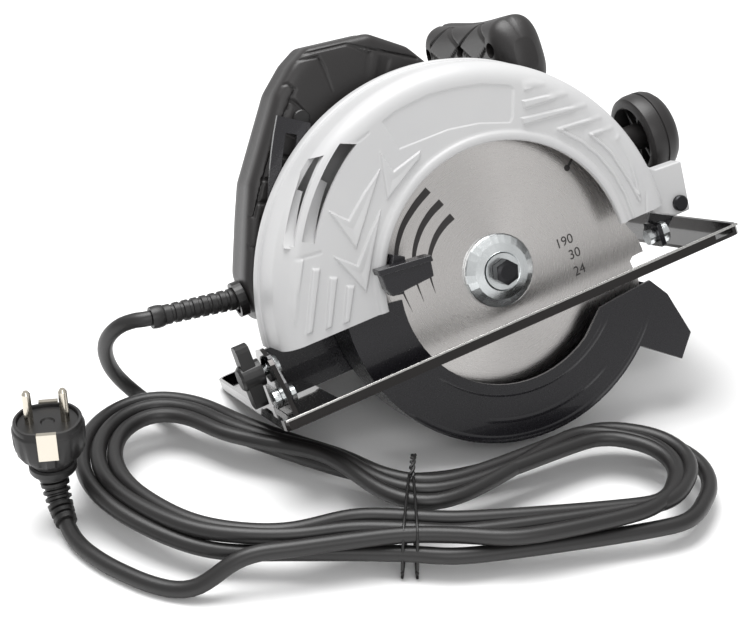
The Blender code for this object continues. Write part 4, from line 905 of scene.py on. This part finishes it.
class BladePrint:
    """Screen-printed marks on the blade: three swept stripes and plain size numerals."""

    FACE_Y = -0.93
    DEPTH = 0.05
    STRIPES = (((-25.1, 58.9), (-36.5, 52.6), (-47.6, 43.5), (-55.6, 30.5), (-58.6, 14.0), (-57.0, -3.0)),
               ((-19.8, 49.6), (-28.8, 45.4), (-37.6, 38.5), (-45.0, 28.0), (-48.8, 15.0), (-48.6, 0.0)),
               ((-16.2, 39.6), (-23.0, 36.6), (-30.0, 31.6), (-36.4, 23.6), (-40.0, 13.0), (-40.4, 2.0)))
    STRIPE_HALF = 2.1
    KEYHOLE = ((60.4, 40.1), (66.4, 45.0))
    # Text, its lower left corner in the saw frame, and its letter height
    SIZES = (("190", (39.0, -2.6), 6.0), ("30", (45.0, -11.6), 6.0), ("24", (45.0, -22.0), 6.0))

    def __init__(self, palette: "Palette") -> None:
        """Keeps the finishes."""
        self.palette = palette

    def build(self) -> None:
        """Each stripe starts square at its upper end and tapers to a point."""
        for number, points in enumerate(self.STRIPES):
            line = spline(points, 1.2)
            forward = np.gradient(line, axis=0)
            forward /= np.linalg.norm(forward, axis=1)[:, None]
            side = np.stack([-forward[:, 1], forward[:, 0]], axis=1)
            width = self.STRIPE_HALF * (1 - np.linspace(0, 1, len(line)) ** 1.3)[:, None] + 0.05
            outline = np.vstack([line + side * width, (line - side * width)[::-1]])
            self.mark(f"blade_stripe_{number}", outline.tolist())
        hole, end = np.array(self.KEYHOLE)
        self.mark("blade_keyhole", arc(tuple(hole), 1.9, 0, 348, 24))
        across = np.array([end[1] - hole[1], hole[0] - end[0]]) / np.linalg.norm(end - hole) * 0.75
        self.mark("blade_slot", [tuple(hole - across), tuple(end - across), tuple(end + across), tuple(hole + across)])
        for text, corner, height in self.SIZES:
            self.numeral(text, corner, height)

    def mark(self, name: str, outline: list) -> None:
        """A thin layer of ink on the blade."""
        layer = prism(name, outline, self.FACE_Y - self.DEPTH, self.FACE_Y)
        seat(layer, "spindle", self.palette["ink"])

    def numeral(self, text: str, corner: tuple, height: float) -> None:
        """A size number in a plain face, as flat geometry on the blade."""
        curve = bpy.data.curves.new("numeral", "FONT")
        curve.body = text
        curve.size = height * 1.35
        curve.extrude = self.DEPTH / 2
        holder = bpy.data.objects.new("numeral", curve)
        bpy.context.scene.collection.objects.link(holder)
        bpy.context.view_layer.update()
        mesh = bpy.data.meshes.new_from_object(holder.evaluated_get(bpy.context.evaluated_depsgraph_get()))
        flat = np.array([vertex.co for vertex in mesh.vertices])
        bpy.data.objects.remove(holder)
        lean = math.radians(12)
        x = corner[0] + flat[:, 0] * math.cos(lean) - flat[:, 1] * math.sin(lean) * 0
        z = corner[1] + flat[:, 0] * math.sin(lean) * 0.2 + flat[:, 1]
        placed = SAW.saw(np.stack([x, self.FACE_Y - flat[:, 2], z], axis=1))
        made = bpy.data.objects.new(f"blade_size_{text}", mesh)
        for vertex, point in zip(mesh.vertices, placed):
            vertex.co = point
        bpy.context.scene.collection.objects.link(made)
        seat(made, "spindle", self.palette["ink"])


# ---------------------------------------------------------------- handles

class RearHandle:
    """The closed rear handle: two shells, grooves and a finger window."""

    CENTRE = (-48.0, 78.0)
    OUTER = [(18, 58), (18, 116), (6, 134), (-14, 149), (-52, 154), (-64, 148), (-79, 136), (-112, 93), (-120, 76),
             (-134, 44), (-134, 17), (-112, 5), (-66, 1), (-40, 30), (0, 40)]
    WINDOW = [(-8, 40), (-8, 100), (-18, 110), (-46, 114), (-60, 104), (-86, 68), (-92, 52), (-80, 40), (-50, 40)]
    MID_Y = 55.0
    HALF_Y = 18.0
    ROWS = 520
    COLUMNS = 150
    # Fine moulded lines on the near face, and the broader rungs of the grip's ladder
    LINES = ([(-67.3, 149.8), (-49.1, 146.8), (-47.1, 135.3), (-65.9, 117.9), (-84.4, 98.7), (-97, 77), (-103, 50), (-100, 24)],
             [(-79, 139.2), (-71.4, 138.6), (-68.5, 134.6), (-85.9, 116), (-104.1, 92.6), (-115.8, 75.2), (-126, 79)],
             [(-131, 66), (-119.4, 56.2), (-111.3, 73.4)], [(-60.7, 151.5), (-30.4, 148), (-5.5, 125.8)],
             [(-30.4, 148), (7.5, 126.3)], [(-119.4, 56.2), (-122, 30), (-112, 12)])
    RUNGS = ([(-73.1, 129.3), (-64.9, 120.4)], [(-84.8, 116.4), (-76.3, 108.8)], [(-94.3, 104.9), (-84.5, 98.4)],
             [(-103.4, 93.2), (-94.1, 88.9)], [(-110.8, 81.7), (-100, 77.6)], [(-117, 56), (-105, 55)], [(-120, 36), (-105, 36)])

    def __init__(self, palette: "Palette") -> None:
        """Keeps the finishes."""
        self.palette = palette

    def reach(self, outline: list, angle: np.ndarray, soften_by: int) -> np.ndarray:
        """How far an outline lies from the centre at each angle, with its corners rounded."""
        closed = np.array(outline + [outline[0]], float) - self.CENTRE
        found = np.zeros(len(angle))
        for a, b in zip(closed[:-1], closed[1:]):
            edge = b - a
            ray = np.stack([np.cos(angle), np.sin(angle)], axis=1)
            cross = ray[:, 0] * edge[1] - ray[:, 1] * edge[0]
            cross = np.where(np.abs(cross) < 1e-9, 1e-9, cross)
            distance = (a[0] * edge[1] - a[1] * edge[0]) / cross
            place = (a[0] * ray[:, 1] - a[1] * ray[:, 0]) / cross
            hit = (distance > 0) & (place >= -1e-6) & (place <= 1 + 1e-6)
            found = np.where(hit, np.maximum(found, distance), found)
        weights = np.hanning(soften_by + 2)[1:-1]
        wrapped = np.concatenate([found[-soften_by // 2:], found, found[:soften_by // 2]])
        return np.convolve(wrapped, weights / weights.sum(), mode="same")[soften_by // 2:soften_by // 2 + len(angle)]

    def grooves(self, x: np.ndarray, z: np.ndarray) -> np.ndarray:
        """How deep the moulded lines are at each place on the side faces."""
        depth = np.zeros(x.shape)
        for line in self.LINES:
            depth = np.maximum(depth, 0.9 * (1 - smoothstep(0.35, 1.0, line_distance(x, z, line))))
        for line in self.RUNGS:
            depth = np.maximum(depth, 1.3 * (1 - smoothstep(0.7, 1.7, line_distance(x, z, line))))
        return depth

    def build(self) -> None:
        """One ring-shaped skin with the seam round its middle."""
        angle = np.linspace(0, TAU, self.ROWS, endpoint=False)
        outer = self.reach(self.OUTER, angle, 7)
        inner = self.reach(self.WINDOW, angle, 15)
        middle, half = (outer + inner) / 2, (outer - inner) / 2
        around = np.linspace(0, TAU, self.COLUMNS, endpoint=False)
        c, s = np.cos(around), np.sin(around)
        across = np.sign(c) * np.abs(c) ** 0.30
        sideways = np.sign(s) * np.abs(s) ** 0.30
        radius = middle[:, None] + half[:, None] * across
        x = self.CENTRE[0] + radius * np.cos(angle)[:, None]
        z = self.CENTRE[1] + radius * np.sin(angle)[:, None]
        y = np.broadcast_to(self.MID_Y + self.HALF_Y * sideways, x.shape)
        side = smoothstep(0.75, 0.95, np.abs(sideways))[None, :] * np.sign(sideways)[None, :]
        y = y - side * self.grooves(x, z)
        seam = 0.6 * (np.abs(y - self.MID_Y) < 0.8)
        radius = radius - seam * np.sign(across)[None, :]
        x = self.CENTRE[0] + radius * np.cos(angle)[:, None]
        z = self.CENTRE[1] + radius * np.sin(angle)[:, None]
        skin = surface("rear_handle", SAW.saw(np.stack([x, y, z], axis=-1)), wrap_rows=True)
        seat(shade(skin, 50), "saw_frame", self.palette["nylon"], ("handle_left_shell", "handle_right_shell"))


class TopGrip:
    """The bar across the top of the saw, with screw pits in its rear half."""

    LOW, HIGH = 26.0, 152.0
    X, Z = 69.5, 107.0
    HALF_X, HALF_Z = 15.5, 23.0
    SCREWS = (40.0, 89.0, 138.0)

    def __init__(self, palette: "Palette") -> None:
        """Keeps the finishes."""
        self.palette = palette

    def build(self) -> None:
        """A rounded bar with a seam and three pits."""
        y = np.linspace(self.LOW, self.HIGH, 260)
        end = np.minimum(y - self.LOW, self.HIGH - y)
        share = 1 - 0.6 * (1 - np.clip(end / 15, 0, 1)) ** 2.4
        around = np.linspace(0, TAU, 120, endpoint=False)
        c, s = np.cos(around), np.sin(around)
        u = np.sign(c) * np.abs(c) ** 0.7
        v = np.sign(s) * np.abs(s) ** 0.7
        seam = 1 - 0.035 * (np.abs(u) < 0.05)
        waist = 1 - 0.05 * np.cos((y - 89) / 63 * math.pi)
        x = self.X + self.HALF_X * (share * waist)[:, None] * (u * seam)[None, :]
        z = self.Z + self.HALF_Z * (share * waist)[:, None] * (v * seam)[None, :]
        ys = np.broadcast_to(y[:, None], x.shape)
        pad = (np.abs(ys - 89) < 44) & (u < -0.3)[None, :]
        slope = 2.1 * (z - self.Z)
        weave = np.maximum(np.cos((ys - 64.5 + slope) * TAU / 49), np.cos((ys - 64.5 - slope) * TAU / 49))
        x = x + 1.3 * pad * smoothstep(0.93, 0.995, weave)
        bar = surface("top_grip", SAW.saw(np.stack([x, ys, z], axis=-1)))
        for place in self.SCREWS:
            pit = turned("pit", [(0, 20), (4.6, 20), (4.6, 61), (0, 61)], (place, self.Z + 8), 32, "X")
            carve(bar, pit)
        seat(shade(bar, 45), "saw_frame", self.palette["nylon"], ("top_grip_rear", "top_grip_front"))


class FrontKnob:
    """The round front knob: a mushroom cap, hollow at the back behind radial ribs."""

    CENTRE = (35.0, 34.0)
    BACK, FRONT, RADIUS = 112.5, 148.0, 26.0

    def __init__(self, palette: "Palette") -> None:
        """Keeps the finishes."""
        self.palette = palette

    def build(self) -> None:
        """The cap, its stem and ribs."""
        start, end, r = self.BACK, self.FRONT, self.RADIUS
        shape = [(0, start), (10, start), (8.4, start + 4), (8.4, end - 16), (r - 8.5, end - 15), (r - 7.2, start + 12.6),
                 (r - 6.2, start + 11.6), (r - 3.4, start + 11.6), (r - 1.0, start + 13), (r, start + 16.4), (r, end - 15.2),
                 (r - 0.7, end - 14.8), (r - 0.7, end - 13.8), (r, end - 13.4), (r - 0.4, end - 9.5), (r - 1.7, end - 6.6), (r - 4.2, end - 4.0),
                 (r - 8, end - 1.9), (r - 13, end - 0.7), (r - 19, end - 0.2), (0, end)]
        cap = turned("knob_cap", shape, self.CENTRE, 96, "X")
        ribs = []
        for k in range(8):
            a = k * math.pi / 4 + 0.3
            across = (-math.sin(a) * 0.9, math.cos(a) * 0.9)
            corners = []
            for reach, side in ((8, 1), (r - 7.6, 1), (r - 7.6, -1), (8, -1)):
                corners.append((self.CENTRE[0] + reach * math.cos(a) + side * across[0],
                                self.CENTRE[1] + reach * math.sin(a) + side * across[1]))
            ribs.append(prism(f"knob_rib_{k}", corners, start + 17, end - 12, "YZ"))
        knob = join("front_knob_skin", [cap] + ribs)
        seat(shade(knob, 40), "saw_frame", self.palette["nylon"], ("front_knob",))


# ---------------------------------------------------------------- dressing the CAD nodes

FINISH_OF_NODE = {
    "gear_case": "cast_paint",
    "motor_housing": "nylon", "motor_end_cap": "nylon",
    "switch_body": "trim", "switch_trigger": "trim", "lock_off_button": "trim", "spindle_lock_button": "trim",
    "bevel_wing_knob": "trim", "depth_clamp_lever": "trim", "brush_cap_front": "trim", "brush_cap_rear": "trim",
    "cooling_fan": "trim", "cord_clamp_ring": "trim",
    "spindle_shaft": "steel", "driven_gear": "steel", "armature_shaft": "steel", "armature_core": "steel",
    "stator_core": "steel", "spindle_front_bearing": "steel", "spindle_rear_bearing": "steel",
    "motor_front_bearing": "steel", "motor_rear_bearing": "steel", "guard_return_spring": "steel",
    "saw_blade": "blade",
    "inner_flange": "zinc", "outer_flange": "zinc", "blade_washer": "zinc", "front_bevel_pin": "zinc",
    "rear_bevel_pin": "zinc", "bevel_clamp_bolt": "zinc", "depth_clamp_bolt": "zinc",
    "blade_bolt": "oxide", "depth_pivot_screw": "oxide",
    "base_plate": "chrome", "rear_quadrant": "chrome",
    "front_bracket": "shield", "rear_bracket": "shield",
    "field_coil_front": "copper", "field_coil_rear": "copper", "commutator": "copper",
    "brush_holder_front": "copper", "brush_holder_rear": "copper",
    "carbon_brush_front": "carbon", "carbon_brush_rear": "carbon",
}
EDGE_ROUND = {"base_plate": 0.35, "gear_case": 0.8, "motor_housing": 0.8, "motor_end_cap": 1.0, "bevel_wing_knob": 1.0,
              "front_bracket": 0.35, "rear_bracket": 0.35, "outer_flange": 0.4, "blade_bolt": 0.45, "guard_lever": 0.6,
              "lower_guard": 0.45, "depth_clamp_lever": 0.8, "rear_quadrant": 0.3, "blade_washer": 0.2,
              "switch_trigger": 0.8, "front_bevel_pin": 0.3, "rear_bevel_pin": 0.3, "saw_blade": 0.08}


def dress_frame(palette: Palette) -> None:
    """Gives every remaining CAD node its finish, smooth shading and rounded edges, and lays a painted highlight along
    the base plate's lip.
    """
    for node, key in FINISH_OF_NODE.items():
        palette.dress(node, key)
    # A bright steel strip along the base plate's near lip: a painted highlight that stands in for the line of light on
    # the glossy black lip
    bead = soften(prism("base_lip_painted_highlight", [(-29.75, -24.6), (-28.3, -24.6), (-28.3, -23.3), (-29.75, -23.3)], -153.5, 141.2, "YZ"), 0.3)
    seat(bead, "base", palette["steel"])
    for node, width in EDGE_ROUND.items():
        soften(frame["nodes"][node], width, 2)


# ---------------------------------------------------------------- studio

class Studio:
    """A white sweep with a broad soft key light and the camera."""

    CAMERA = (-404.6, -684.3, 517.3)
    TILT, TURN = 60.4, -25.5
    LENS = 74.4

    def camera(self) -> None:
        """The main view."""
        lens = bpy.data.cameras.new("main_view")
        lens.lens = self.LENS
        lens.sensor_width = 36.0
        lens.clip_end = 20.0
        holder = bpy.data.objects.new("main_view", lens)
        holder.location = SAW.bench(self.CAMERA)
        holder.rotation_euler = (math.radians(self.TILT), 0.0, math.radians(self.TURN))
        bpy.context.scene.collection.objects.link(holder)
        bpy.context.scene.camera = holder

    def light(self, name: str, place: tuple, target: tuple, size: float, power: float) -> None:
        """A square area light aimed at a place, both in bench millimetres."""
        lamp = bpy.data.lights.new(name, "AREA")
        lamp.shape = "SQUARE"
        lamp.size = size
        lamp.energy = power
        holder = bpy.data.objects.new(name, lamp)
        here, there = SAW.bench(place), SAW.bench(target)
        holder.location = here
        from mathutils import Vector
        holder.rotation_euler = Vector(there - here).to_track_quat("-Z", "Y").to_euler()
        bpy.context.scene.collection.objects.link(holder)

    def build(self) -> None:
        """Floor, lights and world."""
        floor = mesh_object("floor", np.array([[-6, -6, 0], [6, -6, 0], [6, 6, 0], [-6, 6, 0]], float), [[0, 1, 2, 3]])
        white = bpy.data.materials.new("matt_white_paper")
        white.use_nodes = True
        shader = white.node_tree.nodes["Principled BSDF"]
        shader.inputs["Base Color"].default_value = linear("#f3f3f3")
        shader.inputs["Roughness"].default_value = 0.9
        shader.inputs["Specular IOR Level"].default_value = 0.1
        floor.data.materials.append(white)
        world = bpy.data.worlds.new("white_room")
        world.use_nodes = True
        world.node_tree.nodes["Background"].inputs["Color"].default_value = (1, 1, 1, 1)
        world.node_tree.nodes["Background"].inputs["Strength"].default_value = 0.62
        bpy.context.scene.world = world
        bpy.context.scene.view_settings.view_transform = "Standard"
        self.light("overhead_softbox", (-150, 300, 1500), (-40, 0, 60), 1.1, 30.0)
        self.light("front_softbox", (-500, -1500, 1000), (-40, 0, 80), 0.9, 7.0)
        self.camera()


def main() -> None:
    """Builds every piece round the frame."""
    logging.basicConfig(level=logging.INFO, format="%(name)s: %(message)s")
    Studio().build()
    palette = Palette()
    MainsCord(palette).build()
    dress_frame(palette)
    for maker in (Sleeve, UpperGuard, LowerGuard, BladePrint, RearHandle, TopGrip, FrontKnob):
        maker(palette).build()


if __name__ == "__main__":
    main()
